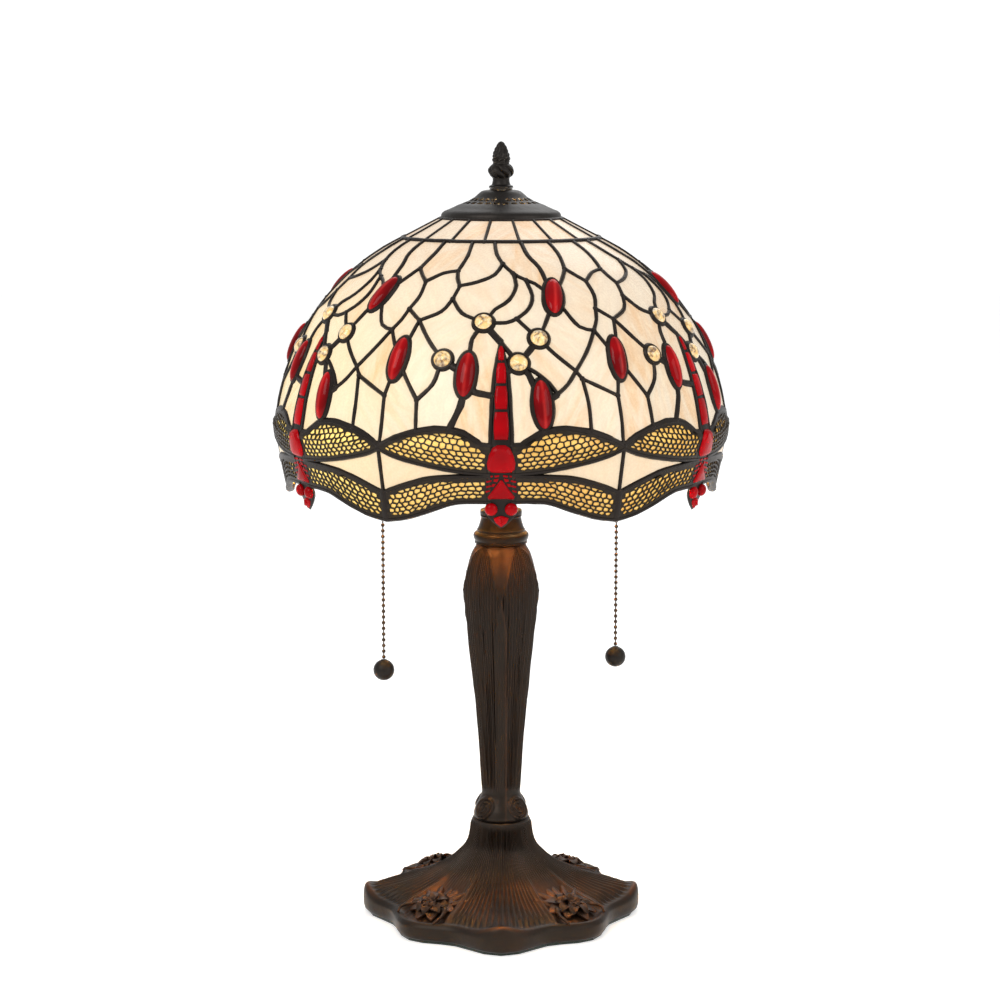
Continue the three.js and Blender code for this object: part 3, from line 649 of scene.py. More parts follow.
# Wing outlines, right side: azimuth and height above the wing line.
UPPER_TOP = [(2.5, -1.8), (4.6, -1.4), (10, 6.4), (15.5, 7.6), (21.8, 5), (26.4, 0.6), (30, -4)]
UPPER_LOW = [(2.5, -19.6), (9, -18.4), (15.6, -16), (23.2, -12.1), (27.4, -9), (30, -6)]
LOWER_TOP = [(2.5, -20.6), (12.3, -21.6), (18.4, -23.6), (25.1, -29), (30, -34)]
LOWER_LOW = [(2.5, -37.0), (8, -37.2), (12.3, -38.6), (19.6, -45.3), (24.8, -49.4), (30, -51.5)]


def gem_place(name, sector):
    az, h, half_width, half_length, lean = GEMS[name]
    return az + SECTOR * sector, h, half_width, half_length, math.radians(lean)


def gem_scale(h):
    """Millimetres per degree of azimuth and per unit of height on the dome at h."""
    radius = shade_radius(WING_LINE + h)
    return math.radians(1) * radius, DOME_RADIUS / radius


def gem_edge(name, sector, angle):
    """The point of a gem's rim at an angle of its own ellipse."""
    az, h, half_width, half_length, lean = gem_place(name, sector)
    per_degree, stretch = gem_scale(h)
    x, y = half_width * math.cos(angle), half_length * math.sin(angle)
    u = x * math.cos(lean) - y * math.sin(lean)
    v = x * math.sin(lean) + y * math.cos(lean)
    return az + u / per_degree, h + v / stretch


def gem_angle(name, sector, point):
    """The angle of the gem's ellipse that faces a point."""
    az, h, half_width, half_length, lean = gem_place(name, sector)
    per_degree, stretch = gem_scale(h)
    u, v = (point[0] - az) * per_degree, (point[1] - h) * stretch
    x = u * math.cos(lean) + v * math.sin(lean)
    y = -u * math.sin(lean) + v * math.cos(lean)
    return math.atan2(y / half_length, x / half_width)


LEAD_STEP = 4.0
LEAD_DRAWN = 2.3


def lead_scale(context):
    """What the half widths in LINES are multiplied by for the sidebar's lead width."""
    return context.scene.lamp_sizes.lead_width * 1000 / LEAD_DRAWN


def dome_lines():
    """Every line of the dome: its two end joints, its run and its half width. The rims of gems
    come back as lines between the joints on them, with no width."""
    lines, touches = [], {}
    for sector in range(SECTORS):
        for start, end, shift, bends, width in LINES:
            homes = [(start, sector), (end, sector + shift)]
            run = [None, *[(az + SECTOR * sector, h) for az, h in bends], None]
            for i, (name, where) in zip((0, -1), homes):
                az, h = (GEMS.get(name) or JOINTS[name])[:2]
                run[i] = (az + SECTOR * where, h)
            keys = []
            for i, (name, where) in zip((0, -1), homes):
                key = (name, where % SECTORS)
                if name in GEMS:
                    angle = gem_angle(name, where, run[1 if i == 0 else -2])
                    run[i] = gem_edge(name, where, angle)
                    touches.setdefault(key, []).append(angle)
                    key = (*key, round(angle, 6))
                keys.append(key)
            lines.append((keys[0], keys[1], spline(run, LEAD_STEP), width))
    for (name, sector), angles in touches.items():
        angles.sort()
        for a, b in zip(angles, angles[1:] + [angles[0] + 2 * math.pi]):
            count = max(2, round((b - a) / 0.35))
            run = [gem_edge(name, sector, a + (b - a) * i / count) for i in range(count + 1)]
            ends = [(name, sector, round((t + math.pi) % (2 * math.pi) - math.pi, 6)) for t in (a, b)]
            lines.append((ends[0], ends[1], run, 0))
    return lines


ROUGH_MM_PER_DEGREE = 2.0


def panes_between(lines):
    """The closed outlines that the lines leave between them, anticlockwise seen from outside."""
    outgoing = {}
    for i, (start, end, run, _) in enumerate(lines):
        for key, way in ((start, 0), (end, 1)):
            pts = run if way == 0 else run[::-1]
            angle = math.atan2(pts[1][1] - pts[0][1], (pts[1][0] - pts[0][0]) * ROUGH_MM_PER_DEGREE)
            outgoing.setdefault(key, []).append((angle, i, way))
    for fan in outgoing.values():
        fan.sort()
    used, outlines = set(), []
    for i in range(len(lines)):
        for way in (0, 1):
            if (i, way) in used:
                continue
            outline, widths, at = [], [], (i, way)
            while at not in used:
                used.add(at)
                start, end, run, width = lines[at[0]]
                pts = run if at[1] == 0 else run[::-1]
                arrive = end if at[1] == 0 else start
                shift = 0
                if outline:
                    shift = 360 * round((outline[-1][0] - pts[0][0]) / 360)
                outline += [(az + shift, h) for az, h in pts[:-1]]
                last = (pts[-1][0] + shift, pts[-1][1])
                widths.append(width)
                fan = outgoing[arrive]
                here = [k for k, (_, j, w) in enumerate(fan) if j == at[0] and w == 1 - at[1]][0]
                _, j, w = fan[(here - 1) % len(fan)]
                at = (j, w)
            wound = abs(last[0] - outline[0][0]) > 180
            area = sum(a[0] * b[1] - b[0] * a[1] for a, b in zip(outline, outline[1:] + outline[:1]))
            if not wound and area > 0 and any(widths):
                outlines.append(outline)
    return outlines


def outline_size(outline):
    """Area in square millimetres and the middle of an outline of (az, h)."""
    az = sum(p[0] for p in outline) / len(outline)
    h = sum(p[1] for p in outline) / len(outline)
    per_degree, stretch = gem_scale(max(h, 0))
    flat = [((p[0] - az) * per_degree, (p[1] - h) * stretch) for p in outline]
    area = sum(a[0] * b[1] - b[0] * a[1] for a, b in zip(flat, flat[1:] + flat[:1])) / 2
    return area, az, h


PANE_FACE = -0.3
PANE_GAP = 0.0005
PANE_THICKNESS = 0.0024


def cut_panes(bm, outlines, seed):
    """Cuts a piece of sheet glass to each outline."""
    rng = random.Random(seed)
    uv = bm.loops.layers.uv.new("UVMap")
    tone = bm.faces.layers.float.new("tone")
    for outline in outlines:
        _, az, h = outline_size(outline)
        face = bm.faces.new([bm.verts.new(on_shade(a, b, PANE_FACE)) for a, b in outline])
        face.normal_update()
        if face.normal.dot(bearing(az)) < 0:
            face.normal_flip()
        rim = bmesh.ops.inset_individual(bm, faces=[face], thickness=PANE_GAP, use_even_offset=True)
        bmesh.ops.delete(bm, geom=rim["faces"], context="FACES")
        back = local_frame(az, h, 0).inverted()
        turn = Matrix.Rotation(rng.uniform(-0.9, 0.9), 2)
        offset = Vector((rng.uniform(0, 40), rng.uniform(0, 40)))
        face[tone] = rng.random()
        for loop in face.loops:
            flat = (back @ loop.vert.co).xy / 10
            loop[uv].uv = turn @ flat + offset
    bmesh.ops.triangulate(bm, faces=bm.faces[:])
    bmesh.ops.solidify(bm, geom=bm.faces[:], thickness=PANE_THICKNESS)


# ---------------------------------------------------------------- leaded dome and crown

CROWN_TILES, CROWN_START = 18, -9.5
SLIVER_AREA = 45


def sector_of(az):
    return round(az / SECTOR) % SECTORS


def shade_panes():
    """The dome's outlines, one list for each sector, without the slivers that solder fills."""
    sheets = [[] for _ in range(SECTORS)]
    slivers = [[] for _ in range(SECTORS)]
    for outline in panes_between(dome_lines()):
        area, az, _ = outline_size(outline)
        (sheets if area > SLIVER_AREA else slivers)[sector_of(az)].append(outline)
    return sheets, slivers


def crown_row():
    """The ring of trapezoid pieces between the dome and the cap."""
    height = APERTURE - WING_LINE - 0.4
    row = []
    for i in range(CROWN_TILES):
        low, high = 20 * i + CROWN_START, 20 * (i + 1) + CROWN_START
        row.append([(low + 5 * j, TOP + 0.8) for j in range(5)]
                   + [(high - 5 * j, height) for j in range(5)])
    return row


class LAMP_OT_dome_glass(bpy.types.Operator):
    """Cut the dome's and the crown's cream glass"""
    bl_idname = "lamp.dome_glass"
    bl_label = "Dome glass"

    def execute(self, context):
        sheets, slivers = shade_panes()
        for k in range(SECTORS):
            bm = bmesh.new()
            cut_panes(bm, sheets[k], k + 1)
            mesh_piece(bm, f"dome_glass_{k + 1}", "cream", "shade",
                       [f"dome_panel_{k + 1}"], recalc=False)
            if slivers[k]:
                bm = bmesh.new()
                for outline in slivers[k]:
                    face = bm.faces.new([bm.verts.new(on_shade(az, h, 0.1)) for az, h in outline])
                    face.normal_update()
                bmesh.ops.triangulate(bm, faces=bm.faces[:])
                bmesh.ops.solidify(bm, geom=bm.faces[:], thickness=0.0026)
                mesh_piece(bm, f"solder_fill_{k + 1}", "lead", "shade", recalc=False)
        bm = bmesh.new()
        cut_panes(bm, crown_row(), 20)
        mesh_piece(bm, "crown_tiles", "cream", "shade", ["crown_glass"], recalc=False)
        return {"FINISHED"}


class LAMP_OT_dome_lead(bpy.types.Operator):
    """Lay the lead between the dome's pieces and round its gems"""
    bl_idname = "lamp.dome_lead"
    bl_label = "Dome lead"

    def execute(self, context):
        beds = [bmesh.new() for _ in range(SECTORS)]
        widen = lead_scale(context)
        for start, end, run, width in dome_lines():
            if width:
                bead(beds[start[1]], run, width * widen, 2.2)
        for k, bm in enumerate(beds):
            for name in GEMS:
                run = [gem_edge(name, k, t * math.pi / 16) for t in range(32)]
                bead(bm, run, 2.0 * widen, 2.7, closed=True)
            for az, h in JOINTS.values():
                solder(bm, az + SECTOR * k, h, 1.75 * widen)
            cap_ends(bm)
            mesh_piece(bm, f"dome_lead_{k + 1}", "lead", "shade")
        bm = bmesh.new()
        for i in range(CROWN_TILES):
            az = 20 * i + CROWN_START
            bead(bm, spline([(az, TOP), (az, APERTURE - WING_LINE - 0.6)], 5), 1.1 * widen, 2.0)
            solder(bm, az, TOP, 1.7 * widen)
        bead(bm, [(5 * i, TOP) for i in range(72)], 1.4 * widen, 2.4, closed=True, rise=-1.0)
        bead(bm, [(5 * i, APERTURE - WING_LINE - 0.7) for i in range(72)], 1.3, 2.0, closed=True)
        cap_ends(bm)
        mesh_piece(bm, "crown_lead", "lead", "shade", ["crown_came"])
        return {"FINISHED"}


class LAMP_OT_gems(bpy.types.Operator):
    """Set the ruby cabochons and the clear jewels"""
    bl_idname = "lamp.gems"
    bl_label = "Gems"

    def execute(self, context):
        for k in range(SECTORS):
            ovals, jewels = bmesh.new(), bmesh.new()
            across = ovals.verts.layers.float.new("across")
            for name in GEMS:
                az, h, half_width, half_length, lean = gem_place(name, k)
                oval = name in OVALS
                bm = ovals if oval else jewels
                made = bmesh.ops.create_uvsphere(bm, u_segments=24, v_segments=12, radius=1)["verts"]
                if oval:
                    for vert in made:
                        vert[across] = vert.co.x
                shape = Matrix.Diagonal((half_width, half_length, 4.0 if oval else 3.6, 1))
                frame_of = local_frame(az, h, 0.2, math.degrees(lean))
                bmesh.ops.transform(bm, matrix=frame_of @ shape, verts=made)
            mesh_piece(ovals, f"ruby_cabochons_{k + 1}", "ruby_gem", "shade", sharp=60)
            mesh_piece(jewels, f"clear_jewels_{k + 1}", "jewel", "shade", sharp=60)
        return {"FINISHED"}


# ---------------------------------------------------------------- dragonflies

def height_at(run, az):
    """The height of a run of (az, h), which goes to the right, at an azimuth."""
    for (a0, h0), (a1, h1) in zip(run, run[1:]):
        if az <= a1:
            return h0 + (h1 - h0) * (az - a0) / max(a1 - a0, 1e-6)
    return run[-1][1]


WING_START, WING_TIP = 2.6, 30.0
WING_ROWS = 9
MARGIN = 2.3
ROW_PITCH, ROW_GROWTH = 2.15, 0.13


def wing_grid(bm, low, high, columns, rows, margin):
    """A grid over one wing, in flat azimuth and height, before it is laid on the shade."""
    made = bmesh.ops.create_grid(bm, x_segments=columns, y_segments=rows, size=1)["verts"]
    run_low, run_high = spline(low, 1.5), spline(high, 1.5)
    spots = {}
    for i, vert in enumerate(made):
        row, col = divmod(i, columns + 1)
        u = col / columns
        az = WING_START + (WING_TIP - WING_START) * u
        bottom, top = height_at(run_low, az), height_at(run_high, az)
        if margin:
            edge = min(margin, (top - bottom) * 0.28)
            below = row - 1
            h = bottom + edge + below * (ROW_PITCH + ROW_GROWTH * below)
            h = min(h, top - edge - 0.05 * (rows - 1 - row))
            if row == 0:
                h = bottom
            if row == rows:
                h = top
        else:
            h = bottom + (top - bottom) * row / rows
        spots[vert] = (row, col)
        vert.co = (math.radians(az) * WING_RADIUS, h, 0)
    return made, spots


def lay_on_shade(verts, mirror, centre, out):
    for vert in verts:
        x, h, raised = vert.co
        az = math.degrees(x / WING_RADIUS)
        vert.co = on_shade(centre + (-az if mirror else az), h, out + raised)


def pierce(bm, cells, wall, corner, segments):
    """Opens a rounded hole in each cell and leaves a wall round it."""
    bmesh.ops.inset_individual(bm, faces=cells, thickness=wall, use_even_offset=True)
    for cell in cells:
        cell.material_index = 1
    corners = list({v for f in cells for v in f.verts})
    bmesh.ops.bevel(bm, geom=corners, offset=corner, offset_type="OFFSET", segments=segments,
                    profile=0.5, affect="VERTICES", clamp_overlap=True, material=0)
    holes = [f for f in bm.faces if f.material_index == 1 and len(f.verts) > 4]
    bmesh.ops.delete(bm, geom=holes, context="FACES")
    for face in bm.faces:
        face.material_index = 0


WINGS = {"upper": (UPPER_LOW, UPPER_TOP), "lower": (LOWER_LOW, LOWER_TOP)}
CELL_WALL = 0.43
CELL_ROUND = 1.05
CELL_LEAST = 5.4


def filigree(bm, low, high, mirror, centre, rng):
    """A pierced wing: rows of rounded cells that run its length, in a plain margin."""
    part = bmesh.new()
    columns, rows = 32, WING_ROWS + 2
    made, spots = wing_grid(part, low, high, columns, rows, MARGIN)
    cuts = []
    for edge in part.edges:
        (r0, c0), (r1, c1) = (spots[v] for v in edge.verts)
        if c0 == c1 and 0 < c0 < columns and c0 % 2 == min(r0, r1) % 2:
            cuts.append(edge)
    bmesh.ops.dissolve_edges(part, edges=cuts, use_verts=False)
    for vert in part.verts:
        row, col = spots[vert]
        room = min((e.calc_length() for e in vert.link_edges), default=0)
        if 0 < row < rows and 0 < col < columns and room > 1.2:
            zigzag = 0.34 if (row - col) % 2 else -0.34
            vert.co.x += rng.uniform(-0.85, 0.85)
            vert.co.y += zigzag + rng.uniform(-0.34, 0.34)
    for face in part.faces:
        face.normal_update()
    cells = []
    for face in part.faces:
        if any(v.is_boundary for v in face.verts):
            continue
        if face.calc_area() > CELL_LEAST:
            cells.append(face)
    pierce(part, cells, CELL_WALL, CELL_ROUND, 2)
    bmesh.ops.solidify(part, geom=part.faces[:], thickness=0.9)
    lay_on_shade(part.verts, mirror, centre, 0.45)
    if mirror:
        bmesh.ops.reverse_faces(part, faces=part.faces[:])
    move_into(bm, part, Matrix.Identity(4))


def mirrored(points, side, centre):
    return [(centre + side * az, h) for az, h in points]


class LAMP_OT_wings(bpy.types.Operator):
    """Build the wings: amber glass, pierced filigree and the lead round them"""
    bl_idname = "lamp.wings"
    bl_label = "Wings"

    def execute(self, context):
        widen = lead_scale(context)
        for k in range(SECTORS):
            centre = SECTOR * k
            rng = random.Random(70 + k)
            glass, metal, lead, gaps = bmesh.new(), bmesh.new(), bmesh.new(), []
            for side in (1, -1):
                for low, high in WINGS.values():
                    made, _ = wing_grid(glass, low, high, 18, 4, 0)
                    lay_on_shade(made, side < 0, centre, -0.5)
                    filigree(metal, low, high, side < 0, centre, rng)
                for points in (UPPER_LOW, LOWER_TOP, LOWER_LOW):
                    bead(lead, mirrored(spline(points, 4), side, centre), 1.5 * widen, 2.3)
                inner = [(az, h) for az, h in spline(UPPER_LOW, 4) if az > 8.5]
                outer = [(az, h) for az, h in spline(LOWER_TOP, 4) if az > 8.5]
                outline = [*outer, *inner[::-1]]
                outline = mirrored(outline, side, centre)
                gaps.append(outline if side > 0 else outline[::-1])
            seam = centre + SECTOR / 2
            bead(lead, [(seam, h) for h in range(-4, -33, -4)], 1.35 * widen, 2.4)
            bead(lead, [(seam, h) for h in (-32, -35, -38, -42, -46, -50.5)], 3.1 * widen, 2.4)
            bmesh.ops.recalc_face_normals(glass, faces=glass.faces[:])
            for island_face in glass.faces:
                if island_face.normal.dot(bearing(centre)) < 0:
                    island_face.normal_flip()
            bmesh.ops.solidify(glass, geom=glass.faces[:], thickness=0.0022)
            mesh_piece(glass, f"wing_glass_{k + 1}", "wing", "shade",
                       [f"dragonfly_{k + 1}"], recalc=False)
            mesh_piece(metal, f"wing_filigree_{k + 1}", "filigree", "shade", recalc=False)
            cap_ends(lead)
            mesh_piece(lead, f"wing_lead_{k + 1}", "lead", "shade")
            bm = bmesh.new()
            cut_panes(bm, gaps, 40 + k)
            mesh_piece(bm, f"band_glass_{k + 1}", "cream", "shade", recalc=False)
        return {"FINISHED"}


# Half outline of a dragonfly's back plate: half width in mm and height above the wing line.
BACK_PLATE = [(0.9, 60), (2.2, 55), (3.1, 48), (3.9, 40), (4.6, 30), (5.2, 18), (5.7, 8), (6.0, 2),
              (7.6, -1.5), (9.4, -6), (10.4, -11), (10.0, -17), (9.8, -23), (10.3, -30), (10.3, -35),
              (9.0, -38), (10.4, -41.5), (9.4, -45), (5.6, -49.5), (1.0, -53.6)]
TAIL_JOINTS = [57.5, 47.7, 34.3, 19.1, 1.0]
TAIL_HALF = [0.7, 2.0, 3.0, 3.7, 4.3]


def slab(bm, outline, centre, out, steps, thickness):
    """A small shaped piece with chamfered edges: outline in mm across and above the wing line."""
    face = bm.faces.new([bm.verts.new((x, h, 0)) for x, h in outline])
    face.normal_update()
    if face.normal.z < 0:
        face.normal_flip()
    before = set(bm.verts) - set(face.verts)
    for width, lift in steps:
        bmesh.ops.inset_individual(bm, faces=[face], thickness=width, depth=lift, use_even_offset=True)
    bmesh.ops.triangulate(bm, faces=[face])
    fresh = [f for f in bm.faces if not any(v in before for v in f.verts)]
    bmesh.ops.solidify(bm, geom=fresh, thickness=thickness)
    for vert in bm.verts:
        if vert in before:
            continue
        x, h, raised = vert.co
        az = centre + math.degrees(x / shade_radius(WING_LINE + h))
        vert.co = on_shade(az, h, out + raised)


def both_sides(half):
    return [*[(x, h) for x, h in half], *[(-x, h) for x, h in half[::-1]]]


def tail_segment(high, low, top_half, low_half):
    middle = (top_half + low_half) / 2 + 0.45
    return both_sides([(top_half, high - 0.8), (middle, (high * 2 + low) / 3),
                       (middle + 0.1, (high + low * 2) / 3), (low_half - 0.2, low + 0.8)])


THORAX = [(2.4, -1.6), (5.2, -3.2), (7.4, -7.2), (8.6, -12.2), (8.2, -16.0), (6.0, -17.9), (2.4, -18.2)]
BELLY = [(0.6, -23.0), (4.2, -28.2), (8.3, -33.6), (7.6, -35.0), (3.0, -34.8)]
HEAD = [(0.5, -45.6), (4.6, -47.0), (3.4, -50.0), (0.4, -52.6)]


def filigree_rays():
    """The small ruby slots that fan out beside the dragonfly's waist."""
    rays = []
    for side in (-1, 1):
        for i, (x, h) in enumerate([(7.7, -20.6), (8.2, -23.6), (8.2, -26.8), (8.6, -29.9)]):
            reach = 2.6 - 0.25 * i
            rays.append([(side * (x - reach), h + 0.7), (side * (x - reach), h - 0.3),
                         (side * (x + 0.7), h - 1.1), (side * (x + 0.9), h + 0.1)])
        rays.append([(side * 1.2, -19.6), (side * 1.2, -20.8), (side * 3.8, -21.2), (side * 4.2, -20.0)])
        rays.append([(side * 1.5, -21.8), (side * 2.4, -24.2), (side * 4.6, -23.8), (side * 4.4, -22.4)])
        rays.append([(side * 3.2, -25.2), (side * 4.4, -27.2), (side * 6.2, -27.0), (side * 5.2, -25.2)])
    return rays


class LAMP_OT_dragonfly_bodies(bpy.types.Operator):
    """Build the dragonflies' bodies: ruby glass standing on a lead back plate"""
    bl_idname = "lamp.dragonfly_bodies"
    bl_label = "Dragonfly bodies"

    def execute(self, context):
        for k in range(SECTORS):
            centre = SECTOR * k
            plate, ruby = bmesh.new(), bmesh.new()
            slab(plate, both_sides(BACK_PLATE), centre, -0.2, [(0.5, 0.5), (0.5, 0.2)], 2.6)
            mesh_piece(plate, f"dragonfly_plate_{k + 1}", "lead", "shade")
            domed = [(0.25, 0.45), (0.35, 0.3), (0.5, 0.2)]
            joints = list(zip(TAIL_JOINTS, TAIL_JOINTS[1:], TAIL_HALF, TAIL_HALF[1:]))
            for high, low, top_half, low_half in joints:
                slab(ruby, tail_segment(high, low, top_half, low_half), centre, 0.6, domed, 1.2)
            slab(ruby, both_sides(THORAX), centre, 0.8, [(0.5, 0.6), (0.8, 0.5), (1.2, 0.4)], 1.4)
            slab(ruby, both_sides(BELLY), centre, 0.6, domed, 1.2)
            slab(ruby, both_sides(HEAD), centre, 0.6, domed, 1.2)
            for ray in filigree_rays():
                slab(ruby, ray, centre, 0.55, [(0.15, 0.2)], 0.8)
            for side in (-1, 1):
                az = centre + side * math.degrees(6.0 / RIM_RADIUS)
                eye = bmesh.ops.create_uvsphere(ruby, u_segments=16, v_segments=10, radius=4.0)["verts"]
                shape = Matrix.Diagonal((1, 1, 0.75, 1))
                bmesh.ops.transform(ruby, matrix=local_frame(az, -41.3, 1.0) @ shape, verts=eye)
            mesh_piece(ruby, f"dragonfly_ruby_{k + 1}", "ruby", "shade")
        return {"FINISHED"}


# ---------------------------------------------------------------- cap and finial

CAP_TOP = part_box("vent_cap")[1].z * 1000


class LAMP_OT_vent_cap(bpy.types.Operator):
    """Build the pierced cap over the crown"""
    bl_idname = "lamp.vent_cap"
    bl_label = "Pierced cap"

    def execute(self, context):
        bm = bmesh.new()
        slope = [(9.6, 0), (11.4, -0.3), (13.0, -0.9), (15.2, -2.7), (17.4, -4.7), (21.8, -7.2),
                 (26.2, -8.9), (28.6, -9.8), (31.0, -11.0), (34.6, -12.6), (37.2, -13.6),
                 (38.8, -14.8), (39.5, -16.2), (39.5, -17.6)]
        rows = len(slope) - 1
        around = 52
        made = bmesh.ops.create_grid(bm, x_segments=around, y_segments=rows, size=1)["verts"]
        spots = {}
        for i, vert in enumerate(made):
            row, col = divmod(i, around + 1)
            radius, drop = slope[rows - row]
            vert.co = (bearing(col * 360 / around) * radius + UP * (CAP_TOP + drop)) / 1000
            spots[vert] = (row, col)
        hole_rows = [rows - 5, rows - 6]
        joins = []
        for edge in bm.edges:
            (r0, c0), (r1, c1) = (spots[v] for v in edge.verts)
            if c0 == c1 and min(r0, r1) in hole_rows and 0 < c0 < around:
                if c0 % 2 == hole_rows.index(min(r0, r1)):
                    joins.append(edge)
        bmesh.ops.dissolve_edges(bm, edges=joins, use_verts=False)
        bmesh.ops.remove_doubles(bm, verts=bm.verts[:], dist=1e-6)
        cells = [f for f in bm.faces if len(f.verts) >= 5]
        bmesh.ops.recalc_face_normals(bm, faces=bm.faces[:])
        pierce(bm, cells, 0.0008, 0.0011, 2)
        bmesh.ops.solidify(bm, geom=bm.faces[:], thickness=0.0010)
        mesh_piece(bm, "pierced_cap", "dark_bronze", "shade", ["vent_cap"], recalc=False)
        return {"FINISHED"}


class LAMP_OT_finial(bpy.types.Operator):
    """Model the bud finial with its spiral leaves"""
    bl_idname = "lamp.finial"
    bl_label = "Finial"

    def execute(self, context):
        low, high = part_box("finial")
        foot = low.z * 1000
        outline = rounded([(0, 0), (7.4, 0), (7.9, 0.5), (7.7, 1.3), (6.4, 1.9), (5.8, 3.2), (5.5, 5.2),
                           (5.8, 6.6), (7.3, 8.0), (8.3, 10.2), (8.2, 12.4), (6.6, 14.6), (5.4, 15.8),
                           (5.5, 17.2), (5.7, 18.8), (5.4, 21.2), (4.6, 24), (3.2, 27.2), (1.5, 29.6),
                           (0, 30.3)], 4)
        bm = bmesh.new()
        turned(bm, [(max(r, 0), z + foot) for r, z in outline], 96)
        for vert in bm.verts:
            x, y = vert.co.x, vert.co.y
            z = vert.co.z * 1000 - foot
            r = math.hypot(x, y)
            if r < 1e-5 or z < 5.5:
                continue
            turn = math.atan2(y, x)
            lower = smooth(6.0, 8.0, z) * (1 - smooth(14.0, 15.4, z))
            upper = smooth(15.8, 17.4, z)
            twist = 0.13 * (z - 6) if lower > 0.02 else -0.16 * (z - 15)
            lobes = 7 if lower > 0.02 else 5
            wave = abs(math.sin(lobes * (turn + twist) / 2))
            cut = (1 - wave) ** 2
            tip = 0.5 + 0.5 * math.sin(lobes * (turn + twist))
            push = 1 - cut * 0.20 * max(lower, upper) + 0.04 * tip * max(lower, upper)
            rows = 0.06 * math.sin(z * 1.7 + 2 * math.sin(lobes * (turn + twist))) * upper
            vert.co.x = x * (push + rows)
            vert.co.y = y * (push + rows)
        mesh_piece(bm, "bud_finial", "dark_bronze", "finial", ["finial"], sharp=55)
        return {"FINISHED"}


# ---------------------------------------------------------------- column

COLUMN_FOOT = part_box("column")[0].z * 1000
COLUMN_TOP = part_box("column")[1].z * 1000


# How much the column is slimmed at each height, so that its corners keep its width.
COLUMN_TRIM = [(67, 0.955), (92, 0.965), (130, 0.95), (170, 0.93), (225, 0.908), (238, 0.95),
               (248, 0.93), (257, 0.92)]
LEAF_TIP, ARCH_START, ARCH_TOP = 225.0, 248.0, 256.5
LEAF_WIDE = 7.0
COLUMN_STEPS = 400
VOLUTE_HEIGHT, VOLUTE_RADIUS = 76.5, 8.8


def from_corner(turn):
    """The angle from the nearest of the stand's four corners, which point along the axes."""
    return (turn + math.pi / 4) % (math.pi / 2) - math.pi / 4


def leaf_half(z, quarter):
    """Half width of the plain leaf that hangs down each corner from the collar, and above it
    the arched tops of the petals on either side."""
    if z <= LEAF_TIP:
        return 0.0
    if z <= ARCH_START:
        return LEAF_WIDE * ((z - LEAF_TIP) / (ARCH_START - LEAF_TIP)) ** 0.75
    share = min((z - ARCH_START) / (ARCH_TOP - ARCH_START), 1)
    return LEAF_WIDE + (quarter - LEAF_WIDE) * (1 - math.sqrt(1 - share * share))


def column_relief(corner, r, z):
    """How far the column's surface stands out, and how warm its colour is. The warmth is rubbed bronze, and
    towards the top and on one rim of each keel it is also painted light.
    """
    off = abs(corner) * r
    quarter = math.pi / 4 * r
    shaft = smooth(86, 92, z) * (1 - smooth(255, 257, z))
    leaf = leaf_half(z, quarter)
    slope = (leaf_half(z + 0.4, quarter) - leaf_half(z - 0.4, quarter)) / 0.8
    inside = (off - leaf) / math.sqrt(1 + slope * slope)
    rim = math.exp(-((inside - 0.5) / 0.75) ** 2) * smooth(LEAF_TIP - 4, LEAF_TIP + 3, z)
    keel_half = 3.5 * (1 - smooth(196, LEAF_TIP + 1, z))
    keel = (1 - smooth(keel_half - 0.6, keel_half + 0.6, off)) * (1 - smooth(219, LEAF_TIP, z))
    keel_rim = math.exp(-((off - keel_half) / 0.65) ** 2) * (1 - smooth(219, LEAF_TIP, z))
    petal = smooth(0.3, 1.3, inside) if z > LEAF_TIP else 1 - keel
    wander = noise.noise(Vector((corner * 2.5, z * 0.006, 4.0)))
    flute = math.sin(2 * math.pi * 9 * off / quarter + 3.0 * wander)
    deep = 0.5 + 0.5 * noise.noise(Vector((off * 0.5, z * 0.012, 9.0)))
    push = shaft * (0.46 * flute * petal * (0.5 + deep) + 0.75 * rim + 0.5 * keel_rim)
    push -= 0.5 * (1 - petal) * smooth(LEAF_TIP, LEAF_TIP + 8, z) * shaft
    push += (0.26 * math.cos(off * 3.1) - 0.3) * keel * shaft
    bare = 0.5 + 0.5 * noise.noise(Vector((off * 0.12, z * 0.06, 1.0)))
    # Rubbed bronze on the leaves and in the flutes, growing towards the top: partly painted light, the bulbs'
    # warm light falling on the column under the shade.
    warm = 0.42 * bare * (1 - petal) * smooth(LEAF_TIP - 1, LEAF_TIP + 22, z)
    warm += 0.34 * petal * (1 - smooth(-0.7, 0.0, flute)) * smooth(222, 246, z)
    # Painted highlight: only one rim of each keel is made warmer.
    warm += 0.10 * keel_rim * (corner > 0)
    foot = 1 - smooth(85, 88, z)
    if foot > 0:
        across = (math.pi / 4 - abs(corner)) * r * (1 if corner > 0 else -1)
        rise = (z - VOLUTE_HEIGHT) * 1.12
        reach = math.hypot(across, rise)
        spiral = math.sin(reach * 2 * math.pi / 2.7 - math.atan2(rise, across))
        boss = 1 - smooth(VOLUTE_RADIUS - 1.4, VOLUTE_RADIUS, reach)
        push += foot * boss * (1.3 + 0.75 * spiral)
        warm += foot * boss * 0.08 * smooth(0.2, 0.9, -spiral)
    return push, warm


def column_step(low, high):
    """How close the column's rings are: closer at its scrolled foot and under its collar."""
    return 0.75 if high < 88 or low > 240 else 2.2


